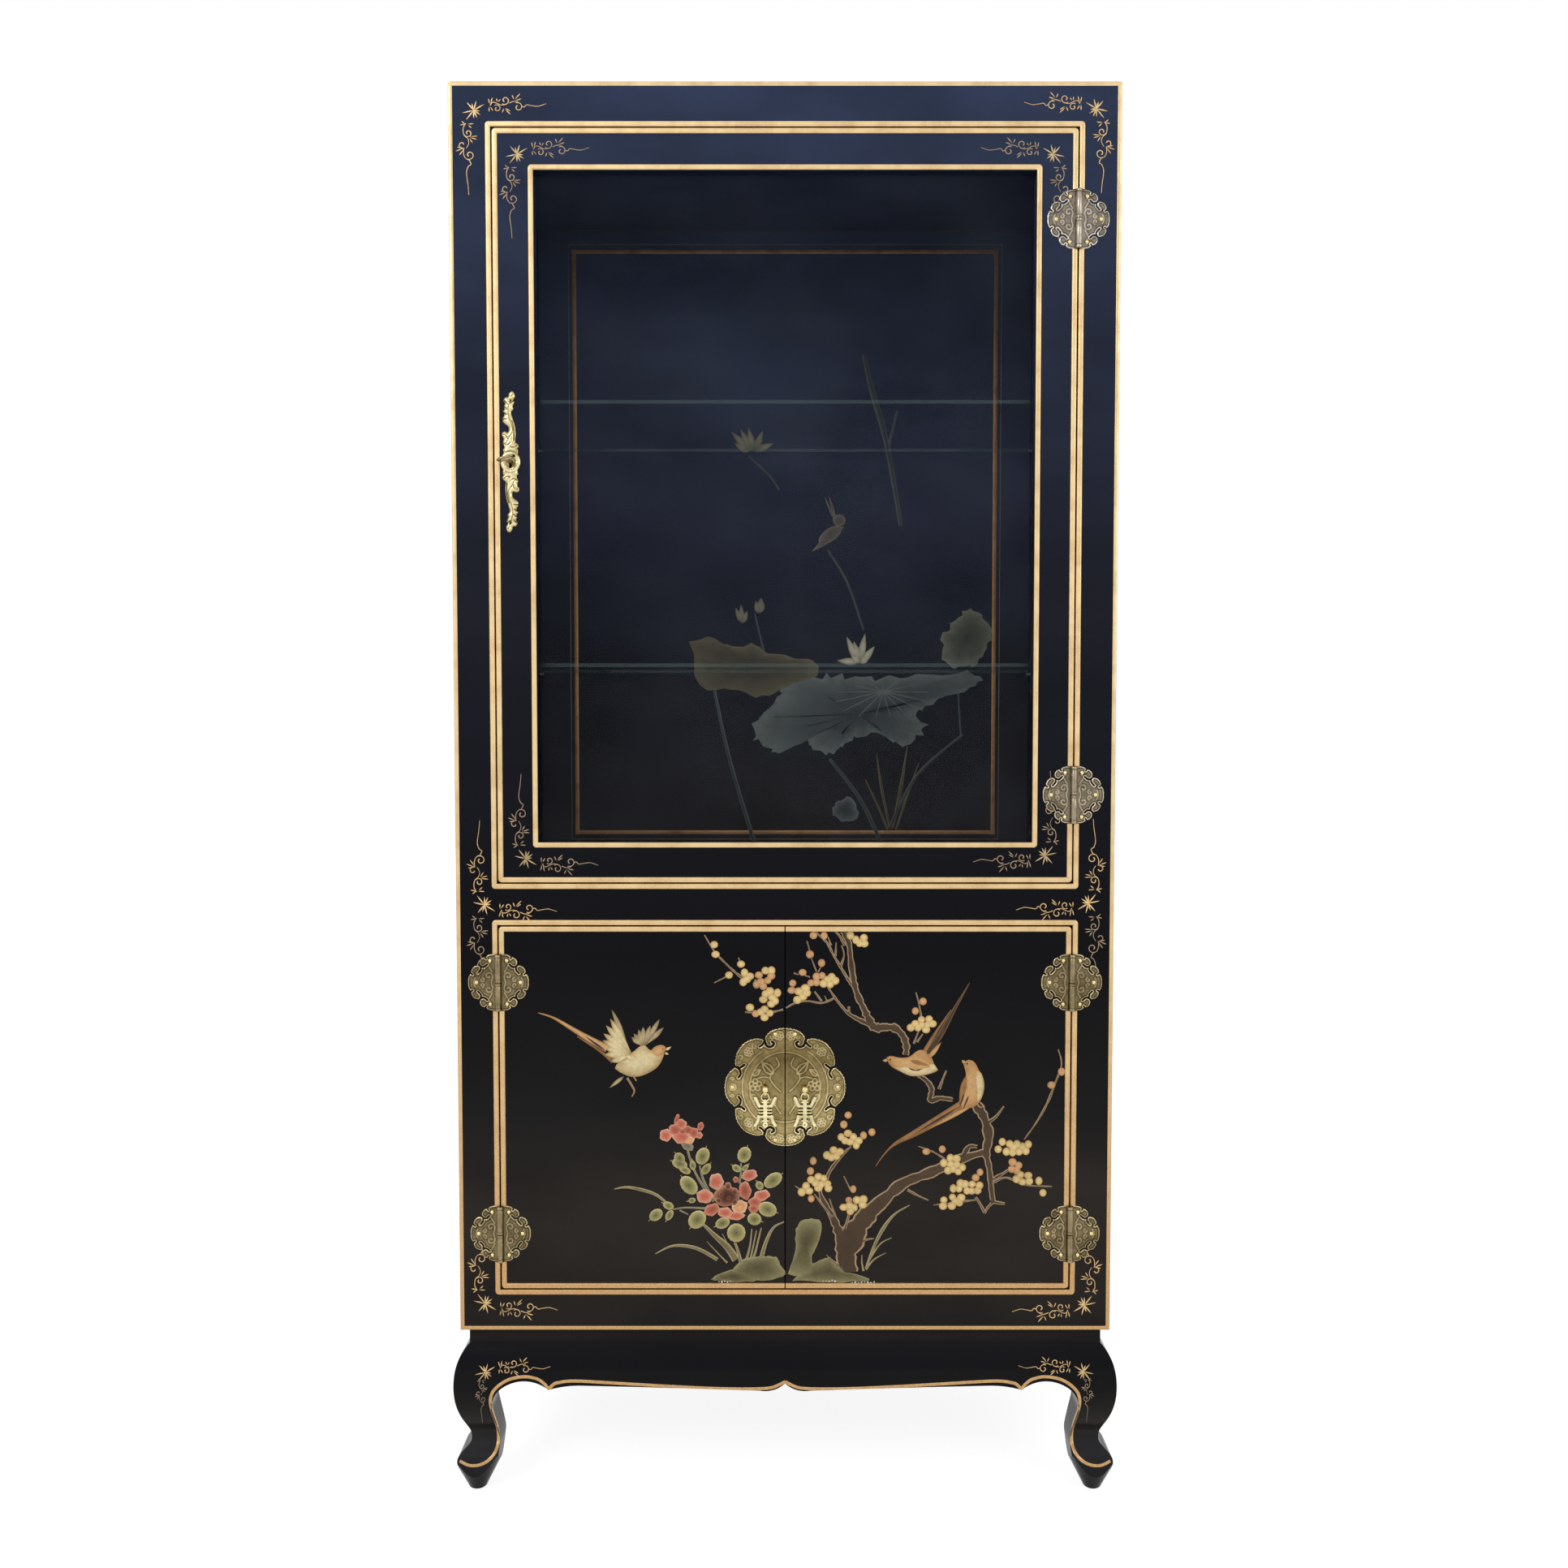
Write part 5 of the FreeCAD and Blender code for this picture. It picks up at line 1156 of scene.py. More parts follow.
# Escutcheon: an oval round the keyhole, and above and below it a leaf scroll
SCROLL_EDGE = (
    (9.4, 9), (10.4, 13.2), (8.4, 16.4), (10.9, 19.4), (9.9, 23.2), (7.0, 25.4), (6.5, 28.4), (7.2, 34.5),
    (6.9, 41.4), (5.5, 49.7), (3.0, 58), (1.4, 64.9), (4.3, 69), (3.6, 72.5), (5.5, 78), (4.3, 81),
    (6.3, 84.5), (5.5, 90.0), (2.3, 92.4), (-1.4, 89.4), (-2.4, 84.8), (-6.4, 84.2), (-8.7, 80),
    (-6.6, 76.4), (-8.3, 72), (-7.2, 69), (-9.6, 66), (-7.4, 62), (-9.6, 57.6), (-9.7, 52.8), (-7, 49.9),
    (-3.2, 46.9), (-1.8, 42.6), (-3.4, 38.6), (-7.3, 39.9), (-10.8, 38.4), (-11, 34.5), (-8.8, 30.4),
    (-10, 24.6), (-8, 20), (-9.4, 15), (-9, 9),
)
SCROLL_VEINS = (
    ((-5.5, 24), (-1.5, 32), (3.2, 40), (1.4, 50), (-1.4, 58), (-2.6, 66), (-1.4, 74), (1.4, 81)),
    ((4.6, 28), (5, 36), (4.2, 45), (2.2, 54)), ((-9, 56), (-4.4, 56)), ((-8.6, 64.6), (-4.4, 62)),
    ((-7.4, 72), (-3.6, 68.4)), ((-7.4, 80), (-3, 75)), ((4.6, 80), (1.2, 77)),
    ((-9.4, 36), (-5, 34), (-3.4, 30)), ((-8.4, 24), (-4, 22), (0, 25)), ((8.6, 21.6), (4, 19), (0, 20)),
    ((3.6, 88), (1.6, 84.6)),
)
VEIN_WIDTH = 0.7
VEIN_DEPTH_SHARE = 0.45
# The oval's raised rim, as a share of its reach and a half width, and how fast the scrolls swell
OVAL_RIM = 0.72
OVAL_RIM_HALF = 0.3
SCROLL_SWELL = 4.2
ESCUTCHEON_THICK = 2.6
ESCUTCHEON_GRID = (-13.9, 13.9, -92.9, 92.9, 0.55)
ESCUTCHEON_THINNEST = 0.35
OVAL_HALF_WIDE = 13.3
OVAL_HALF_TALL = 14.6
# The band between the oval and each scroll, the hole at each end, and the keyhole
COLLAR = ((-8.6, 15.6), (8.6, 15.6))
COLLAR_HALF = 1.5
END_HOLE = (0.7, 80.2)
END_HOLE_RADIUS = 0.9
KEYHOLE_RADIUS = 3.2
KEYHOLE_SLOT_HALF = 1.8
KEYHOLE_SLOT_DEEP = 8.4


def escutcheon_relief():
    x, z = grid(*ESCUTCHEON_GRID)
    upper = smooth_line(SCROLL_EDGE, 3)
    field = np.maximum(inside_of(x, z, upper), inside_of(x, z, flipped(upper, -1, -1)))
    shares = np.hypot(x / OVAL_HALF_WIDE, z / OVAL_HALF_TALL)
    field = np.maximum(field, (1 - shares) * OVAL_HALF_WIDE)
    field = np.maximum(field, COLLAR_HALF - nearest(x, z, both_ways(COLLAR)))
    for flip in (1, -1):
        hole = np.hypot(x - flip * END_HOLE[0], z - flip * END_HOLE[1])
        field = np.minimum(field, hole - END_HOLE_RADIUS)
    field = np.minimum(field, np.hypot(x, z) - KEYHOLE_RADIUS)
    slot = np.maximum(np.abs(x) - KEYHOLE_SLOT_HALF, np.maximum(z, -KEYHOLE_SLOT_DEEP - z))
    field = np.minimum(field, slot)
    veins = [smooth_line(vein, 4) for vein in SCROLL_VEINS]
    cut = band(nearest(x, z, veins + [flipped(vein, -1, -1) for vein in veins]), 0, VEIN_WIDTH)
    bowl = np.clip(1 - ((shares - OVAL_RIM) / OVAL_RIM_HALF) ** 2, 0, 1)
    swell = np.where(shares < 1, 0.35 + 0.65 * bowl, np.sqrt(np.clip(field / SCROLL_SWELL, 0.03, 1)))
    rise = ESCUTCHEON_THICK * swell * (1 - VEIN_DEPTH_SHARE * cut)
    rise = np.clip(rise, ESCUTCHEON_THINNEST, ESCUTCHEON_THICK)
    tone = 0.12 + 0.85 * swell - 0.75 * cut
    solid = Solid()
    solid.sheet(x, z, field, rise, np.clip(tone, 0, 1), np.zeros(x.shape))
    return solid


low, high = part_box("escutcheon")
place = (escutcheon_relief(), (low.x + high.x) / 2, FACE_Y, (low.z + high.z) / 2)
relief_piece("escutcheon_relief", [place], bright_brass, "glass_door", "bright_brass", "escutcheon")


# Painted work: each tone is that of the edge, the field and the core, which is the field's where left out
PAINT_TONES = {
    "bark": ((180, 152, 118), (74, 58, 42), (88, 70, 50)),
    "stem": ((168, 158, 128), (124, 114, 90)),
    "petal": ((206, 160, 98), (244, 214, 146), (252, 230, 168)),
    "peach": ((190, 138, 94), (226, 176, 122), (236, 192, 140)),
    "rose": ((244, 190, 160), (220, 126, 102), (206, 108, 84)),
    "rose_light": ((250, 214, 170), (238, 168, 122), (246, 196, 136)),
    "rose_deep": ((226, 160, 128), (196, 110, 88), (170, 86, 68)),
    "rose_heart": ((190, 134, 104), (96, 56, 42), (56, 34, 26)),
    "rose_curl": ((214, 160, 128), (140, 82, 64), (56, 34, 26)),
    "leaf": ((212, 196, 138), (156, 150, 98), (104, 104, 62)),
    "calyx": ((168, 156, 130), (140, 128, 106), (120, 112, 90)),
    "grass": ((184, 168, 126), (128, 116, 80), (136, 124, 88)),
    "rock": ((156, 148, 104), (112, 104, 72), (86, 80, 54)),
    "rock_light": ((184, 174, 126), (156, 146, 104)),
    "tan": ((190, 140, 88), (222, 174, 116), (232, 188, 132)),
    "tan_dark": ((150, 108, 68), (176, 128, 80), (160, 114, 70)),
    "dark": ((120, 92, 60), (76, 58, 40), (66, 50, 36)),
    "cream": ((200, 168, 116), (240, 218, 164), (248, 230, 184)),
    "wing": ((176, 150, 104), (242, 220, 166), (248, 230, 180)),
    "wing_dim": ((130, 112, 82), (196, 174, 130), (206, 186, 140)),
    "claw": ((190, 150, 110), (170, 128, 94)),
    "eye": ((30, 24, 20), (24, 20, 18), (20, 16, 14)),
    "snow": ((210, 204, 186), (238, 234, 220)),
    "lotus_leaf": ((100, 108, 106), (60, 69, 72), (42, 50, 54)),
    "lotus_brown": ((96, 90, 66), (62, 58, 42), (44, 42, 32)),
    "lotus_pale": ((112, 114, 98), (76, 80, 70), (58, 62, 56)),
    "lotus_petal": ((140, 136, 116), (180, 176, 154), (200, 196, 174)),
    "lotus_dim": ((92, 90, 78), (118, 116, 100), (130, 128, 110)),
    "lotus_stem": ((70, 78, 78), (50, 58, 60), (46, 54, 56)),
    "lotus_reed": ((96, 88, 62), (74, 68, 48), (64, 58, 42)),
    "lotus_bird": ((112, 106, 92), (84, 80, 74), (74, 70, 66)),
}
# How much a branch's width and a petal's edge waver, as shares, and a petal's waves
RAGGED = 0.22
PETAL_WAVER = 0.09
PETAL_WAVES = 5
# A limb's rim, which is its edge tone showing past the top, and the least share that the top keeps
RIM_WIDTH_PX = 1.1
LEAST_TOP = 0.35
LIMB_RISE = 0.25 * MM
LEAF_POINT_PX = 2.4
STAMEN_RADIUS_PX = 0.9


class Painting(Brushwork):
    """Flowers, birds and branches on one face. Their places and sizes are in pixels.

    A table of rows is painted in its order: each row has a method, a tone and what to paint so."""

    def __init__(self, name, y, body):
        super().__init__(name, y, body, colour_paint, "black_lacquer")
        self.unit = pixel_length(y)

    def paint(self, *tables):
        for table in tables:
            for method, tone, *items in table:
                for item in items:
                    getattr(self, method)(tone, *item)

    def places(self, numbers):
        """The world places of x and y pixels, given one after the other."""
        return self.pxs(zip(numbers[::2], numbers[1::2]))

    def fill(self, tone, outline):
        edge, field, *core = [linear(*level) for level in PAINT_TONES[tone]]
        self.patch(outline, edge, field, *core)

    def limb(self, tone, widths, *numbers, ragged=0.0):
        """A stem or blade along places: its edges show past a darker top; widths are whole ones."""
        edge, field, *core = [linear(*level) for level in PAINT_TONES[tone]]
        line = smooth_line(self.places(numbers))
        half = []
        for turn in range(len(line)):
            width = width_at(widths, turn / (len(line) - 1)) * self.unit / 2
            half.append(width * (1 + draw.uniform(-ragged, ragged)))
        top = [max(reach - RIM_WIDTH_PX * self.unit, LEAST_TOP * reach) for reach in half]
        self.stroke(line, half, edge, LIMB_RISE)
        self.stroke(line, top, field, tip=core[0] if core else field)

    def branch(self, tone, widths, *numbers):
        self.limb(tone, widths, *numbers, ragged=RAGGED)

    def leaf(self, tone, foot_x, foot_y, tip_x, tip_y, width, point=0.75):
        foot, tip = self.places((foot_x, foot_y, tip_x, tip_y))
        self.fill(tone, leaf_outline(foot, tip, width * self.unit, point=point))

    def wing(self, tone, width, foot_x, foot_y, *tips):
        """Long feathers from one foot to several tips."""
        for tip_x, tip_y in zip(tips[::2], tips[1::2]):
            self.leaf(tone, foot_x, foot_y, tip_x, tip_y, width, 1.5)

    def round_leaf(self, tone, foot_x, foot_y, tip_x, tip_y, width):
        """A broad leaf with a fine point."""
        middle = ((foot_x + tip_x) / 2, (foot_y + tip_y) / 2)
        length = math.hypot(tip_x - foot_x, tip_y - foot_y)
        turn = math.degrees(math.atan2(foot_y - tip_y, tip_x - foot_x))
        past = 1.0 + LEAF_POINT_PX / length
        end = (foot_x + (tip_x - foot_x) * past, foot_y + (tip_y - foot_y) * past)
        self.limb(tone, (1.6, 0.8), *middle, *end)
        self.round(tone, *middle, length / 2, width / 2, turn)

    def round(self, tone, x, y, half_long, half_wide=None, turn=0, waver=0.0):
        """An oval, or a petal where its edge wavers."""
        middle = self.px(x, y)
        outline = oval(*middle, half_long * self.unit, (half_wide or half_long) * self.unit, turn)
        if waver:
            shift = draw.uniform(0, 6)
            wavy = []
            for step, (a, b) in enumerate(outline):
                bend = 1 + waver * math.sin(PETAL_WAVES * step / len(outline) * 2 * math.pi + shift)
                wavy.append((middle[0] + (a - middle[0]) * bend, middle[1] + (b - middle[1]) * bend))
            outline = wavy
        self.fill(tone, outline)

    def blossom(self, tone, radius, *numbers):
        """Round petals, every third with a stamen mark."""
        for turn, (x, y) in enumerate(zip(numbers[::2], numbers[1::2])):
            self.round(tone, x, y, radius * draw.uniform(0.88, 1.1), radius * draw.uniform(0.88, 1.1))
            if turn % 3 == 1:
                self.round("bark", x, y, STAMEN_RADIUS_PX)

    def snow_dots(self, tone, start_x, end_x, y, count):
        for dot in range(count):
            x = start_x + (end_x - start_x) * dot / (count - 1)
            self.round(tone, x, y + draw.uniform(-1, 1), draw.uniform(0.7, 1.5))

    def field(self, tone, waves, *numbers):
        """A patch inside a smooth outline, whose edge wavers by so many pixels."""
        outline = smooth_line(self.places(numbers + numbers[:2]), 4)[:-1]
        if waves:
            unit = self.unit
            outline = [(x + draw.uniform(-waves, waves) * unit, z + draw.uniform(-waves, waves) * unit)
                       for x, z in outline]
        self.fill(tone, outline)


# Left door: a blossoming twig, a bird on the wing, and peonies by a rock
LEFT_TWIG_PX = (
    ("branch", "bark", ((1.4, 2.6, 3.4), 868, 1152, 880, 1172, 893, 1186, 907, 1199, 918, 1207),
     ((1.4, 2.4), 880, 1211, 890, 1206, 900, 1201), ((1.6, 1.4), 914, 1192, 910, 1180),
     ((1.6, 2.8, 2.4), 918, 1247, 936, 1249, 952, 1247, 965, 1244),
     ((2, 2.6, 2), 930, 1207, 948, 1220, 958, 1234), ((1.4, 1.8), 924, 1241, 930, 1248)),
    ("blossom", "petal", (5.1, 880, 1164, 881.7, 1176, 913, 1188, 898.2, 1201.5),
     (5.1, 917.4, 1198.7, 924, 1203, 920, 1207, 915.8, 1210)),
    ("blossom", "peach",
     (5.1, 935, 1201.5, 937.7, 1209.7, 932.2, 1213, 940.4, 1215.4, 946, 1208, 950.3, 1202.6)),
    ("blossom", "petal",
     (5.1, 943.2, 1196, 950.6, 1196, 943.2, 1225, 951.4, 1229, 958, 1223.4, 950.3, 1237),
     (5.1, 955.2, 1233.3, 940.6, 1231.6, 948.7, 1221.6),
     (5.1, 942, 1243.7, 948.7, 1248.4, 937.7, 1247, 942, 1253.8, 924, 1241.5)),
    ("blossom", "peach", (5.1, 931, 1249)),
)
FLYING_BIRD_PX = (
    ("limb", "tan_dark", ((1, 3, 6), 711, 1277, 739, 1295, 755, 1308)),
    ("limb", "tan", ((0.8, 4, 7, 11), 663, 1247.9, 682, 1254.2, 703.8, 1267, 722.9, 1278.5, 748, 1292)),
    ("leaf", "dark", (748, 1296, 716, 1273, 3)),
    ("leaf", "wing_dim", (769, 1326, 750.3, 1341, 5)),
    ("wing", "wing_dim",
     (6.6, 793, 1290, 812.8, 1255.5, 818, 1265.7, 801.4, 1263.2, 792.4, 1265, 786.7, 1268.3, 781, 1273.4,
      777.8, 1277.8), (6.5, 776, 1294, 753.5, 1243.4)),
    ("wing", "wing",
     (9.6, 779, 1299, 752.2, 1308.4, 744.6, 1299.5, 744.6, 1291.2, 742, 1281.7, 743.3, 1273.4,
      746.5, 1263.2, 751.6, 1254.9)),
    ("limb", "claw", ((3, 2.6, 1.4), 772.7, 1328, 779, 1338.4, 781.6, 1344.8, 778.4, 1351.2),
     ((2.4, 1.6), 780, 1325, 784.1, 1332)),
    ("field", "cream",
     (0, 757.3, 1316.7, 765, 1322, 777.8, 1327, 793, 1325, 809.6, 1315.5, 817.3, 1302.7, 818, 1292,
      802, 1294, 793, 1287, 781, 1295, 768, 1306, 760, 1311)),
    ("wing", "wing", (6.4, 786, 1306, 762, 1310, 766, 1318, 768, 1300)),
    ("leaf", "cream", (820, 1294, 827.4, 1289.6, 3.6), (819, 1297, 824, 1299.4, 3)),
    ("round", "tan", (811, 1295, 10.5, 6.8, 28)),
    ("round", "eye", (816.8, 1292.8, 1.2)),
)
LEFT_ROCK_PX = (
    ("limb", "grass", ((1, 4.6, 3), 757, 1465, 775, 1463, 804.5, 1470.3, 820, 1481),
     ((1, 4.4, 5), 807.6, 1544.8, 830, 1535, 857.9, 1538, 884, 1552),
     ((3, 8, 11), 866, 1508, 882, 1523.6, 895.5, 1535.8, 907, 1552),
     ((1.4, 4, 6), 966, 1505.5, 953, 1512.7, 944, 1529.7, 938, 1550),
     ((0.8, 2.6), 871, 1529.7, 885.8, 1545.5, 896, 1556), ((3, 5), 906, 1532, 910, 1544, 913, 1556),
     ((1.4, 3.6), 926.4, 1514, 924, 1535.8, 919, 1554), ((1.4, 3), 932, 1516, 928, 1536, 924, 1554),
     ((1.6, 4), 938, 1512.7, 931, 1541.8, 927, 1554), ((0.8, 2), 890, 1520, 899, 1538, 906, 1552)),
    ("field", "rock",
     (1.0, 893, 1573, 904, 1562, 917, 1552, 938, 1548, 956, 1549, 962, 1558, 966, 1573, 930, 1578),
     (1.0, 876, 1577, 888, 1568, 906, 1564, 922, 1569, 932, 1578, 900, 1580)),
    ("limb", "rock_light", ((1, 2.6, 1), 904, 1563, 918, 1552, 936, 1549),
     ((1, 2, 1), 930, 1574, 944, 1564, 958, 1560), ((0.8, 1.8, 0.8), 884, 1571, 900, 1567, 914, 1568)),
    ("snow_dots", "snow", (886, 900, 1579, 5)),
)
PEONY_STEMS_PX = (
    ("limb", "stem", ((3, 3, 5), 847, 1416, 851, 1430.3, 857.9, 1447.3, 868, 1464, 880, 1480),
     ((2, 3, 4), 862, 1436, 866, 1452, 874, 1470), ((2, 3), 913, 1433, 913, 1445, 911, 1458),
     ((1.6, 3), 829, 1490.3, 844.5, 1488, 870, 1489), ((2.4, 1.4), 837.3, 1491, 848, 1496.4)),
    ("round_leaf", "leaf", (842, 1433, 832.4, 1421.2, 13), (847, 1437.6, 828, 1430.5, 13),
     (851, 1445, 837, 1438.5, 9), (861.5, 1435.2, 870, 1414, 17), (865, 1447, 875, 1434, 10),
     (854.2, 1442, 853, 1429.7, 8), (857.5, 1471, 840, 1450, 19), (857.3, 1478.2, 848, 1480, 7),
     (913.6, 1432.7, 920.6, 1413, 17), (912.4, 1443, 902.5, 1436, 9), (914.8, 1442.4, 922, 1435, 6),
     (942, 1462, 963, 1446.6, 17), (939, 1465.5, 932.6, 1456, 9.6), (934.2, 1486, 957, 1494, 19),
     (921, 1499, 938, 1505, 16), (899, 1503, 881.6, 1511, 14), (909.4, 1507, 905, 1531, 23.5),
     (867, 1493, 851, 1512.6, 21), (830, 1488.5, 817, 1482.4, 10), (815.5, 1491, 801, 1503, 14),
     (828.6, 1491, 821, 1503.6, 9)),
)
# Each petal's tone, place, half length and width, and turn in degrees
PEONY_PETALS_PX = (
    ("calyx", 847, 1412, 8.6, 5.4, -30), ("rose", 820.3, 1398.8, 7.8, 8, 0),
    ("rose_deep", 834, 1379, 7, 2.8, 74), ("rose_deep", 863.3, 1387.9, 4, 5.6, -14),
    ("rose", 861.5, 1398.8, 4.4, 4.4, 0), ("rose_deep", 855, 1396, 6, 7, 0),
    ("rose", 838.5, 1385, 8, 6.4, 0), ("rose_deep", 832, 1392, 8.6, 7.6, 0),
    ("rose_deep", 848, 1392.5, 7, 5.6, -20), ("rose", 839.5, 1401, 12, 8.8, -14),
    ("rose_light", 849, 1405.4, 7.4, 5, 24), ("rose_deep", 841, 1394, 5, 3.6, 10),
    ("rose_deep", 918, 1467, 7.8, 12, 6), ("rose", 923.3, 1448, 10.2, 7.2, 14),
    ("rose", 882.7, 1456, 9.2, 10.8, 0), ("rose", 868.4, 1474, 10.6, 9.2, 0),
    ("rose_deep", 877, 1490.6, 10.6, 7.6, 24), ("rose", 938.5, 1473, 10.6, 7, 14),
    ("rose_deep", 930, 1481, 8.4, 6, 0), ("rose_deep", 928.4, 1489, 6.6, 5.6, 0),
    ("rose_heart", 896, 1474, 17, 13.4, 0), ("rose_curl", 897, 1462, 4.4, 5.6, 0),
    ("rose_curl", 905, 1469, 4.6, 6, 0), ("rose_curl", 889, 1472, 5.4, 5.4, 0),
    ("rose_curl", 898, 1476, 4.6, 5.4, 0), ("rose_curl", 905, 1481, 4.6, 5, 0),
    ("rose_curl", 886, 1479, 5, 4.6, 0), ("rose_deep", 906.4, 1453.4, 3.4, 4, 0),
    ("rose", 893.6, 1494, 9.4, 6.8, -6), ("rose", 907, 1498, 11, 5.6, 4),
    ("rose_light", 911.4, 1487.4, 10.4, 8.6, 30),
)
left = Painting("left_door_painting", FACE_Y, "left_door")
left.paint(LEFT_TWIG_PX, FLYING_BIRD_PX, LEFT_ROCK_PX, PEONY_STEMS_PX)
for petal in PEONY_PETALS_PX:
    left.round(*petal, waver=PETAL_WAVER)
left.finish()

# Right door: an old blossoming branch with two birds, by rocks and grass
RIGHT_ROCK_PX = (
    ("field", "rock",
     (1.0, 970.5, 1570, 975.4, 1555.4, 980, 1539.3, 980.7, 1514.3, 988, 1503, 1003.9, 1501.8, 1012, 1507,
      1009.3, 1528.6, 1001, 1547, 999, 1574),
     (1.0, 976, 1578, 992, 1562, 1007.5, 1554, 1021.8, 1549, 1030.7, 1559, 1046.8, 1568, 1072, 1577,
      1023.6, 1580.4)),
    ("limb", "rock_light", ((1, 4, 1.4), 1002, 1503, 1010, 1510, 1007, 1530, 998, 1550),
     ((0.8, 2, 0.8), 1016, 1550, 1029, 1557, 1046, 1567), ((1, 3, 1), 982, 1560, 992, 1557, 1000, 1559),
     ((0.8, 1.6, 0.8), 984, 1532, 990, 1518, 996, 1512)),
)
OLD_BRANCH_PX = (
    ("branch", "bark", ((1, 4, 6), 1077, 1526, 1066, 1528, 1054, 1534),
     ((1, 4), 1018, 1546, 1024, 1552, 1034, 1560),
     ((24, 34, 30, 17, 15, 13, 11), 1045, 1568, 1043, 1544, 1053, 1518, 1070, 1496, 1088, 1479,
      1113, 1458, 1148, 1444, 1184, 1428, 1212, 1420),
     ((22, 12, 7, 4), 1040, 1546, 1034, 1520, 1025, 1498, 1013, 1477, 1010, 1464),
     ((15, 13, 9, 7), 1203, 1361, 1213, 1378, 1218, 1400, 1215, 1420, 1219, 1440, 1222, 1470, 1224, 1481),
     ((6, 3), 1220, 1480, 1230, 1482, 1238, 1483), ((3, 4), 1213, 1495, 1217, 1488, 1223, 1482),
     ((5, 2.4), 1216, 1384, 1227, 1376, 1237, 1363), ((9, 5), 1186, 1426, 1194, 1413, 1204, 1413),
     ((3, 4), 1202, 1475, 1208, 1484, 1213, 1494), ((3, 2.4), 1186, 1480.4, 1202, 1478.6),
     ((5, 2.6), 1223, 1453, 1238, 1444.6, 1249, 1436),
     ((3.4, 1.6), 1224, 1457, 1240, 1451, 1262, 1460, 1296, 1462),
     ((1.6, 3.2, 1.4), 1262, 1404, 1277, 1383, 1290, 1360, 1300, 1335, 1308, 1312, 1304, 1293),
     ((4, 1.4), 1118, 1466, 1130.7, 1473, 1144, 1479),
     ((1.4, 3), 1131.6, 1412.5, 1148.6, 1418.8, 1164, 1428),
     ((1.4, 2.6), 1150, 1484.8, 1168, 1483, 1186, 1481),
     ((5, 8, 6), 1131, 1325, 1141, 1331, 1148, 1342, 1146, 1356, 1158, 1353, 1174, 1355),
     ((4, 2), 1157, 1342, 1162, 1329, 1166, 1319),
     ((7, 9, 9, 13, 10, 9), 1038.4, 1147.5, 1045.8, 1162.4, 1048.3, 1183.5, 1052, 1209.7, 1057, 1227,
      1064.5, 1243, 1071, 1257, 1078, 1266, 1090, 1265.6, 1103, 1267, 1112.8, 1276.8, 1116.7, 1289,
      1116, 1300), ((2, 4), 1028.4, 1147, 1034.7, 1153.7, 1041, 1165),
     ((1.8, 2.4), 1128.6, 1222.7, 1132.3, 1237, 1135, 1252), ((2, 3), 1132, 1270, 1126, 1286),
     ((2, 3), 1137, 1274, 1130, 1284),
     ((2.6, 3.4, 5), 1004.8, 1148.7, 1018.5, 1161, 1027.2, 1177.3, 1034.7, 1189.8, 1042, 1202,
      1049, 1213), ((1.4, 2.6), 1020, 1154, 1024, 1165), ((1.4, 3), 1030.3, 1161, 1029.5, 1178),
     ((1.6, 3.4), 1037, 1165, 1040, 1177, 1036, 1190),
     ((2, 3.4, 5, 8), 1019.7, 1215.9, 1027.2, 1227, 1034.7, 1237, 1044.6, 1248.2, 1054.6, 1254.4,
      1072, 1263),
     ((2.4, 3), 968.5, 1242, 980, 1236, 995, 1233.6, 1011, 1236, 1021, 1233.3, 1028, 1229.6),
     ((2, 2.8), 1003.6, 1221.6, 1012.3, 1233.6), ((1, 2), 1016, 1227, 1019, 1233),
     ((3, 4), 1046, 1240, 1046, 1248), ((1.4, 2), 994.2, 1159.3, 997.6, 1171),
     ((1.6, 2.2), 999.8, 1181, 1006, 1197), ((1.4, 1.6), 1012, 1190, 1008, 1198),
     ((1.4, 1.8), 990, 1201, 998, 1204), ((2, 1.4), 978, 1199, 984, 1201),
     ((2, 5, 6), 1048.6, 1412.5, 1038, 1423, 1023.6, 1441, 1018, 1453),
     ((1.4, 2), 1039.6, 1449, 1048, 1466), ((1.4, 3, 4), 1003, 1471, 1013, 1484, 1026, 1500),
     ((3, 4), 1047, 1494, 1041, 1514), ((1.4, 3), 1021.8, 1476.8, 1029, 1498),
     ((1.4, 1.6), 979.6, 1461, 986, 1466)),
    ("limb", "grass",
     ((1, 5, 3), 1120.9, 1484.8, 1102, 1496.4, 1087.9, 1514.3, 1077, 1535.7, 1067.3, 1562),
     ((0.8, 3), 1098.6, 1525, 1084.3, 1533, 1070, 1554),
     ((0.8, 2.8), 1091.4, 1543.8, 1077, 1551.8, 1067, 1564),
     ((0.8, 3), 1062, 1546, 1062, 1556, 1064, 1566)),
)
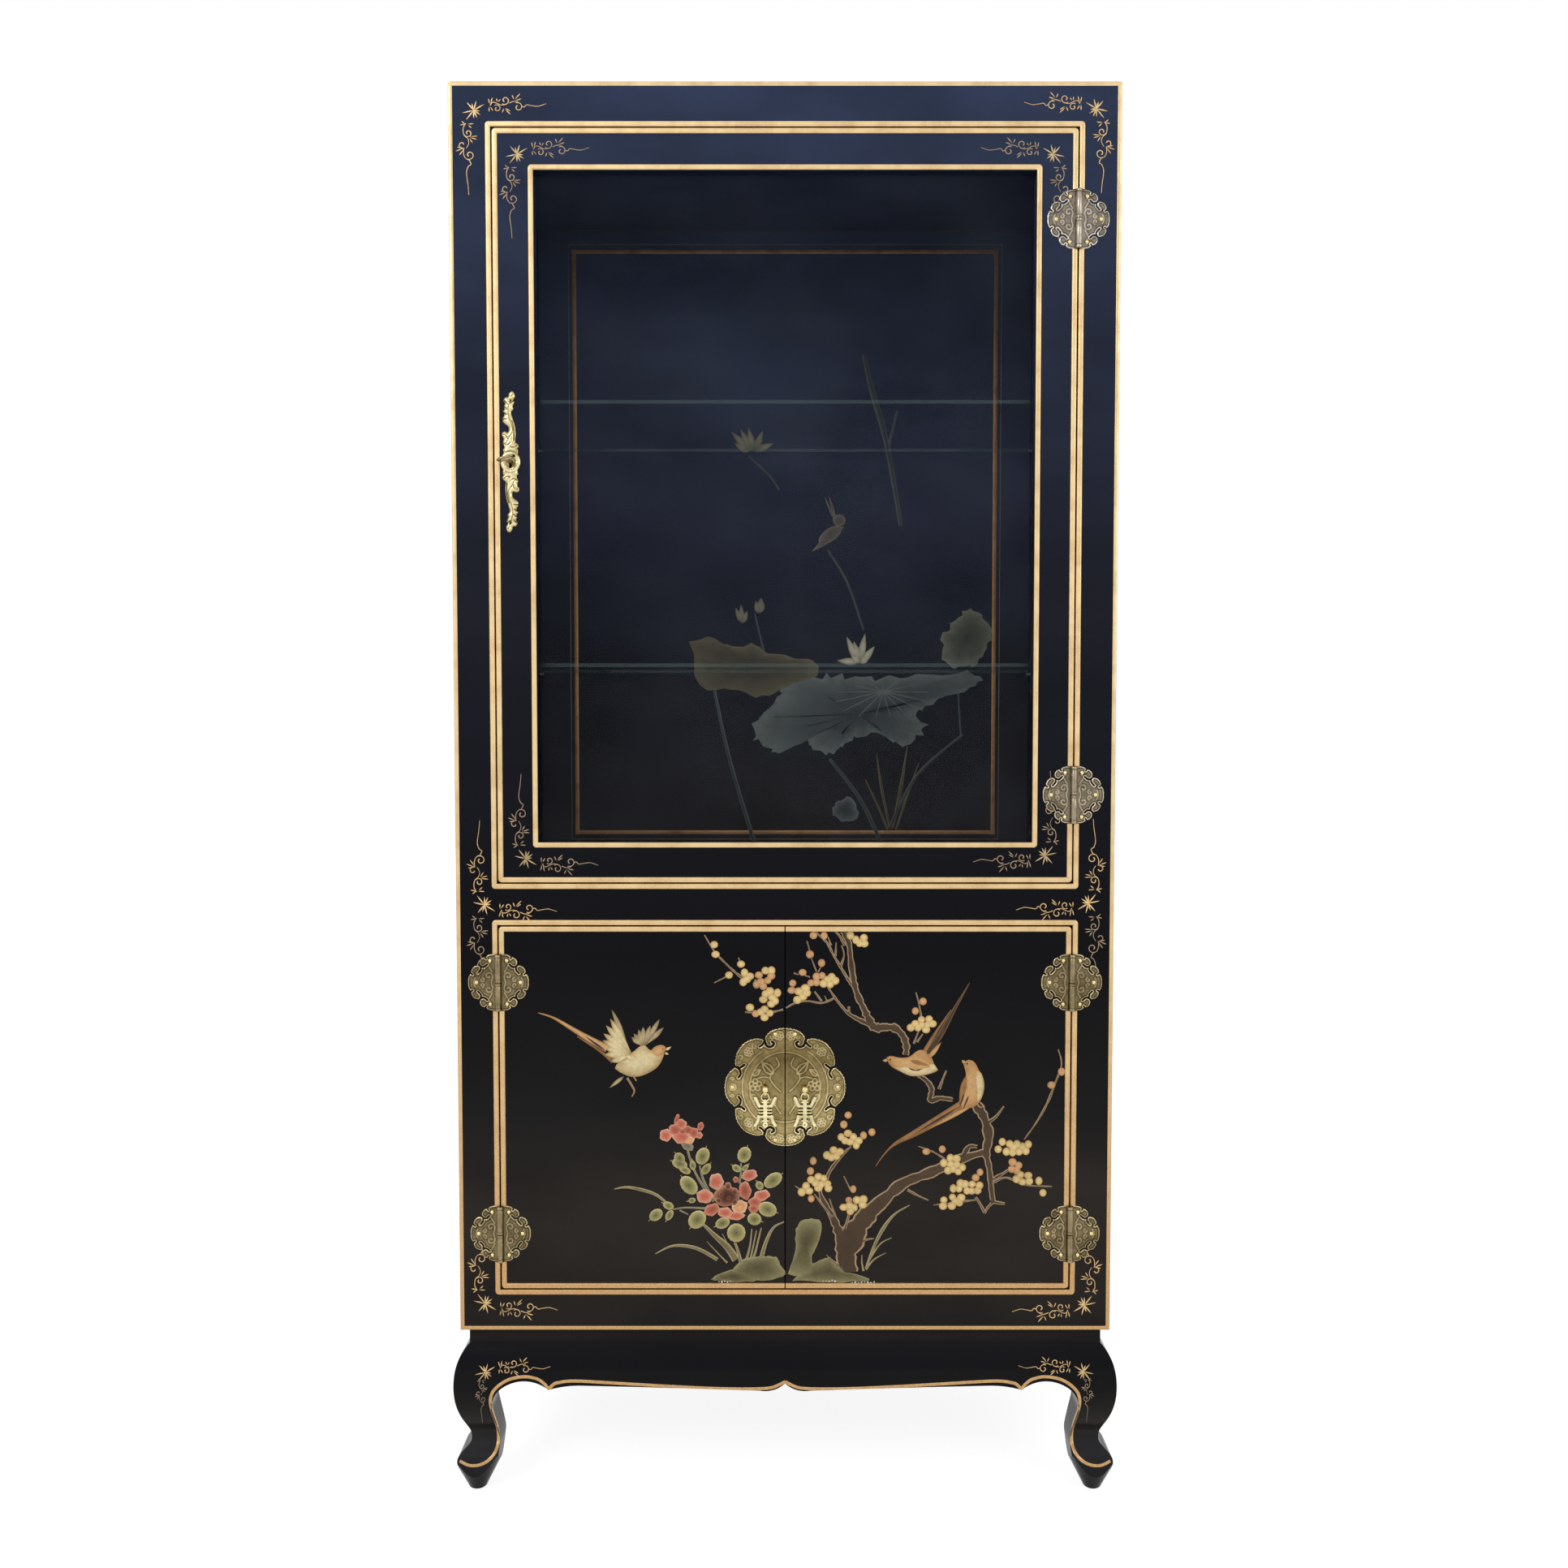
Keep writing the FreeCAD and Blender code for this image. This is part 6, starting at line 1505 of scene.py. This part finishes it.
BLOSSOMS_PX = (
    ("blossom", "petal", (5.1, 1047.7, 1152.6, 1054.6, 1158, 1064.5, 1155.5, 1065, 1162.6, 1059, 1162)),
    ("blossom", "peach", (4.8, 1002.3, 1152.6, 1015.4, 1153, 998, 1176, 1012.3, 1186.6, 988.9, 1198.2),
     (5.1, 1012.9, 1202.2, 999.2, 1211.1, 1006, 1203.4, 1006, 1210.3, 976.8, 1211.5, 975.6, 1220.2)),
    ("blossom", "petal", (5.1, 1024.7, 1204, 1029, 1208.4, 1023, 1212.6, 1014.8, 1211.9, 1020, 1206.6),
     (5.6, 992.4, 1217.7, 993.6, 1223.4, 984.3, 1221.5, 989.3, 1228, 982.4, 1232)),
    ("blossom", "peach", (4.7, 1137.3, 1233.9, 1127.9, 1245.7)),
    ("blossom", "petal",
     (5.1, 1144.7, 1255.7, 1149, 1261.4, 1142.6, 1262.6, 1141, 1268.7, 1122.3, 1266.2, 1127.9, 1261.3),
     (5.1, 1135.4, 1256.3, 1131, 1266.2, 1135.6, 1263)),
    ("blossom", "peach",
     (4.8, 1045, 1374, 1039.7, 1385.6, 1063.9, 1399, 1074.3, 1395, 1002, 1430.4, 998.6, 1443)),
    ("blossom", "petal",
     (5.1, 1036.4, 1401, 1044.7, 1396.4, 1051.4, 1401, 1057.8, 1405.6, 1041, 1405.4, 1047.4, 1407),
     (5.1, 1027, 1417, 1035, 1419, 1019, 1423.4, 1024.4, 1426, 1030.6, 1424.6, 1055, 1411),
     (5.1, 1008.4, 1450, 999.5, 1453.6, 1015, 1452, 1004.8, 1457.6, 1019.4, 1458.4, 1011.6, 1459.4),
     (5.1, 1020.6, 1464, 1008.4, 1464, 993.2, 1461.6, 997, 1467.4, 987.9, 1468.8)),
    ("blossom", "peach", (4.5, 999.5, 1477, 1051.3, 1465.2, 1045.9, 1478.6)),
    ("blossom", "petal",
     (5.1, 1055.7, 1478.6, 1063.8, 1477.7, 1062.9, 1484.6, 1039.6, 1487.5, 1046.8, 1485.7, 1052.4, 1488,
      1047.7, 1492.4)),
    ("blossom", "peach", (4.8, 1141.4, 1418.8, 1161, 1416, 1207.5, 1444.3, 1202.1, 1451)),
    ("blossom", "petal",
     (5.1, 1170.9, 1426.8, 1178.6, 1427.6, 1162.9, 1433, 1171.4, 1434.4, 1178.9, 1435, 1186, 1438.4),
     (5.1, 1168.2, 1442, 1180.7, 1443.6, 1174.6, 1440, 1183.4, 1458, 1174.5, 1464.3, 1181.6, 1464.4),
     (5.1, 1188.8, 1459, 1191.4, 1467, 1197.7, 1459, 1197.4, 1467.4, 1204.4, 1467, 1206.8, 1460.7),
     (5.1, 1162.9, 1478.6, 1162, 1486, 1173.6, 1475, 1184.3, 1475.6, 1182, 1482, 1172.7, 1485.7,
      1177.4, 1480),
     (5.1, 1229.8, 1416, 1235, 1407, 1240, 1419, 1244, 1409.4, 1253, 1410, 1266.8, 1410, 1259.6, 1412.6),
     (5.1, 1264, 1418, 1247.6, 1419.8, 1255.4, 1419, 1248.6, 1413.6)),
    ("blossom", "peach",
     (5.1, 1247.6, 1431.9, 1255, 1435.7, 1246.5, 1440.6, 1252.6, 1442, 1308, 1320.5, 1295.4, 1337)),
    ("blossom", "petal",
     (5.1, 1257.5, 1447.4, 1266.8, 1448.3, 1259.7, 1456, 1252.6, 1452.6, 1268, 1455.4, 1280, 1455,
      1285, 1469.7)),
)
PERCHED_BIRDS_PX = (
    ("limb", "dark", ((9, 7, 1), 1140, 1301, 1158, 1276, 1174, 1247, 1194.6, 1211)),
    ("limb", "tan_dark", ((7, 4, 0.8), 1138, 1299, 1152, 1274, 1172, 1244),
     ((15, 10, 2.4, 0.8), 1196, 1356, 1166, 1374, 1128, 1396, 1102, 1410, 1088, 1424, 1079, 1437)),
    ("leaf", "dark", (1146, 1298, 1166, 1262, 4)),
    ("leaf", "tan", (1144, 1304, 1160, 1284, 6)),
    ("leaf", "cream", (1143, 1311, 1156, 1319, 8)),
    ("leaf", "dark", (1188, 1360, 1118, 1402, 3.4)),
    ("leaf", "tan", (1200, 1361, 1140, 1393, 5)),
    ("field", "tan",
     (0, 1092, 1303, 1098, 1301, 1108, 1303, 1120, 1302, 1132, 1294, 1144, 1296, 1150, 1308, 1153, 1320,
      1138, 1322, 1120, 1323, 1106, 1319, 1096, 1312)),
    ("field", "cream",
     (0, 1100, 1315, 1108, 1311, 1118, 1318, 1134, 1320, 1150, 1314, 1154, 1320, 1138, 1325,
      1120, 1325.4)),
    ("field", "tan",
     (0, 1187, 1311, 1192, 1306, 1200, 1308, 1206, 1318, 1211, 1332, 1210, 1348, 1204, 1362, 1192, 1366,
      1182, 1366, 1184, 1350, 1187, 1334, 1190, 1324)),
    ("field", "cream",
     (0, 1203, 1316, 1210, 1324, 1213, 1338, 1210, 1352, 1204, 1360, 1203, 1344, 1200, 1330)),
    ("limb", "claw", ((2, 1.4), 1131, 1322, 1134, 1328), ((2, 1.4), 1203, 1358, 1207, 1364, 1212, 1363)),
    ("leaf", "tan", (1094, 1306, 1087.4, 1307, 4), (1189, 1310, 1185, 1306, 4)),
    ("leaf", "tan_dark", (1116, 1305, 1148, 1314, 9), (1192, 1324, 1182, 1364, 10)),
    ("leaf", "dark", (1190, 1340, 1181, 1368, 3.6), (1195, 1346, 1186, 1368, 3)),
    ("round", "eye", (1097, 1305.5, 1.2), (1191.5, 1310.6, 1.2)),
)
RIGHT_DOTS_PX = (
    ("snow_dots", "snow", (1014, 1029, 1577.7, 5), (1050, 1077, 1580.4, 8)),
)
right = Painting("right_door_painting", FACE_Y, "right_door")
right.paint(RIGHT_ROCK_PX, OLD_BRANCH_PX, BLOSSOMS_PX, PERCHED_BIRDS_PX, RIGHT_DOTS_PX)
right.finish()

# Back panel behind the glass: a gold border, which is a broad line with a hair line outside it
DISPLAY_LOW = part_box("display_floor")[1].z
DISPLAY_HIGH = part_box("display_ceiling")[0].z
# Each line's reach from the middle, half width, distance from the display's floor and ceiling, and tone
BORDER_LINES = (
    (337.0 * MM, 3.5 * MM, 32.0 * MM, linear(170, 128, 84)),
    (345.8 * MM, 0.5 * MM, 21.0 * MM, linear(120, 116, 104)),
)
BORDER_RISE = 0.2 * MM
border = Brushwork("back_panel_border", BACK_Y, "root", gold_paint)
for reach, half, rise, tone in BORDER_LINES:
    border.rectangle(-reach, DISPLAY_LOW + rise, reach, DISPLAY_HIGH - rise, half, tone, BORDER_RISE)
border.finish()

# Back panel: a dim pond of lotus, and veins that spread from the eye of its broad leaf
POND_STEMS_PX = (
    ("limb", "lotus_stem", ((5, 8, 5), 1064, 436, 1074, 480, 1092, 545, 1110, 648),
     ((3, 4), 1106, 506, 1100, 530, 1094, 556), ((2.4, 3, 2.4), 1020, 678, 1044, 718, 1064, 776),
     ((2, 2.4), 922, 562, 948, 586, 960, 604), ((2, 3), 930, 756, 938, 790, 944, 812),
     ((4, 5, 6), 1022, 935, 1060, 985, 1086, 1040), ((3, 5), 1186, 905, 1130, 955, 1096, 1020),
     ((4, 6), 880, 850, 900, 940, 930, 1040), ((2.4, 2.4), 1180, 836, 1182, 880, 1184, 905)),
    ("limb", "lotus_reed", ((1, 4, 3), 1080, 928, 1086, 970, 1096, 1018),
     ((1, 5, 3), 1118, 920, 1110, 970, 1100, 1020), ((1, 3, 3), 1132, 940, 1118, 980, 1104, 1022),
     ((1, 3, 3), 1066, 960, 1080, 990, 1094, 1022)),
)
POND_LEAVES_PX = (
    ("field", "lotus_brown",
     (3.0, 850, 792, 878, 786, 903, 797, 930, 793, 952, 806, 1004, 816, 1006, 834, 972, 846, 938, 860,
      902, 850, 862, 846)),
    ("field", "lotus_leaf",
     (4.2, 925, 910, 928, 892, 936, 880, 952, 864, 966, 846, 984, 838, 1018, 832, 1052, 834, 1094, 835,
      1148, 831, 1206, 829, 1206, 845, 1178, 854, 1162, 858, 1148, 868, 1132, 878, 1142, 894, 1136, 904,
      1114, 918, 1094, 906, 1064, 904, 1042, 916, 1024, 930, 1004, 922, 992, 912, 958, 928, 944, 922)),
    ("field", "lotus_pale",
     (3.6, 1168, 772, 1180, 758, 1196, 752, 1210, 757, 1222, 780, 1216, 800, 1204, 818, 1184, 824,
      1166, 818, 1160, 796)),
    ("field", "lotus_leaf", (2.0, 1030, 990, 1042, 982, 1056, 992, 1056, 1008, 1040, 1014, 1026, 1004)),
)
LOTUS_FLOWERS_PX = (
    ("leaf", "lotus_petal", (1056, 814, 1043, 784, 9), (1058, 814, 1052, 790, 9),
     (1060, 814, 1066, 780, 9), (1062, 816, 1078, 796, 9), (1058, 816, 1031, 814, 9),
     (1060, 817, 1048, 806, 9), (1060, 818, 1072, 806, 9)),
    ("leaf", "lotus_dim", (914, 768, 906, 748, 7), (914, 768, 913, 744, 7), (915, 768, 921, 752, 7),
     (936, 756, 938, 736, 11), (934, 756, 931, 740, 7), (924, 556, 900, 531, 9), (926, 556, 912, 528, 9),
     (928, 556, 922, 526, 9), (930, 556, 940, 530, 9), (930, 556, 954, 546, 9), (924, 557, 904, 546, 9)),
    ("leaf", "lotus_bird", (1040, 648, 1000, 680, 10), (1028, 640, 1016, 612, 3),
     (1030, 640, 1021, 610, 3)),
    ("round", "lotus_bird", (1023, 659, 17, 8, 35), (1034, 641, 8, 7.4)),
)
VEIN_EYE_PX = (1088, 852)
VEIN_MIDDLE_Y_PX = 862
VEIN_REACH_PX = 60
VEIN_LEAST_SHARE = 0.62
VEIN_FLATTENING = 0.5
VEIN_STEP = 24
VEIN_START = 6
VEIN_HALVES_PX = (0.9, 0.4)
VEIN_RISE = 0.5 * MM
pond = Painting("back_panel_lotus", BACK_Y, "root")
pond.paint(POND_STEMS_PX, POND_LEAVES_PX)
vein_halves = [half * pond.unit for half in VEIN_HALVES_PX]
vein_tone = linear(*PAINT_TONES["lotus_leaf"][0])
for turn in range(0, 360, VEIN_STEP):
    angle = math.radians(turn + VEIN_START)
    reach = VEIN_REACH_PX * (VEIN_LEAST_SHARE + (1 - VEIN_LEAST_SHARE) * abs(math.cos(angle)))
    tip_x = VEIN_EYE_PX[0] + reach * math.cos(angle)
    tip_y = VEIN_MIDDLE_Y_PX + VEIN_FLATTENING * reach * math.sin(angle)
    pond.stroke(pond.pxs((VEIN_EYE_PX, (tip_x, tip_y))), vein_halves, vein_tone, VEIN_RISE)
pond.paint(LOTUS_FLOWERS_PX)
pond.finish()

# Floor, lights and camera
FLOOR_REACH = 9.0
floor_data = bpy.data.meshes.new("floor")
floor_corners = [(x * FLOOR_REACH, y * FLOOR_REACH, 0) for x, y in ((-1, -1), (1, -1), (1, 1), (-1, 1))]
floor_data.from_pydata(floor_corners, [], [(0, 1, 2, 3)])
floor = bpy.data.objects.new("floor", floor_data)
bpy.context.scene.collection.objects.link(floor)
floor_finish = Finish("floor")
floor_finish.set(Base_Color=floor_finish.mix(floor_finish.noise(3.0, 3.0), (150, 150, 150), (154, 154, 154)))
floor_finish.set(Roughness=0.9, Specular_IOR_Level=0.1)
floor_data.materials.append(floor_finish.material)

# The floor shines a little where it is looked at, so that it joins the white background
FLOOR_GLOW = 0.86
glow = floor_finish.remap(floor_finish.seen_directly(), 0, 1, 0, FLOOR_GLOW)
floor_finish.set(Emission_Color=(1, 1, 1, 1), Emission_Strength=glow)


def area_light(name, place, target, size, power):
    data = bpy.data.lights.new(name, "AREA")
    data.shape = "RECTANGLE"
    data.size, data.size_y = size
    data.energy = power
    item = bpy.data.objects.new(name, data)
    item.location = place
    item.rotation_euler = (Vector(target) - Vector(place)).to_track_quat("-Z", "Y").to_euler()
    bpy.context.scene.collection.objects.link(item)


area_light("key_light", (-2.6, -3.4, 3.4), (0, 0, 1.0), (1.6, 1.6), 60)
area_light("fill_light", (3.0, -3.0, 2.4), (0, 0, 0.9), (2.0, 2.0), 30)

# The background is white where it is looked at, and dimmer as a light on things
WORLD_LIGHT = 0.75
world = bpy.data.worlds.new("studio")
bpy.context.scene.world = world
world.use_nodes = True
sky = Tree(world.node_tree)
strength = sky.remap(sky.seen_directly(), 0, 1, WORLD_LIGHT, 1)
sky.fill(world.node_tree.nodes["Background"], {"Color": (1, 1, 1, 1), "Strength": strength})

# The camera of the photograph
camera_data = bpy.data.cameras.new("camera")
camera_data.lens = FOCAL_PX / PHOTO_SIZE * camera_data.sensor_width
camera_data.shift_x = (PHOTO_SIZE / 2 - CENTRE_X_PX) / PHOTO_SIZE
camera_data.shift_y = (CENTRE_Y_PX - PHOTO_SIZE / 2) / PHOTO_SIZE
camera = bpy.data.objects.new("camera", camera_data)
camera.location = EYE
camera.rotation_euler = (math.pi / 2 - PITCH, 0, 0)
bpy.context.scene.collection.objects.link(camera)
bpy.context.scene.camera = camera
bpy.context.scene.view_settings.view_transform = "Standard"
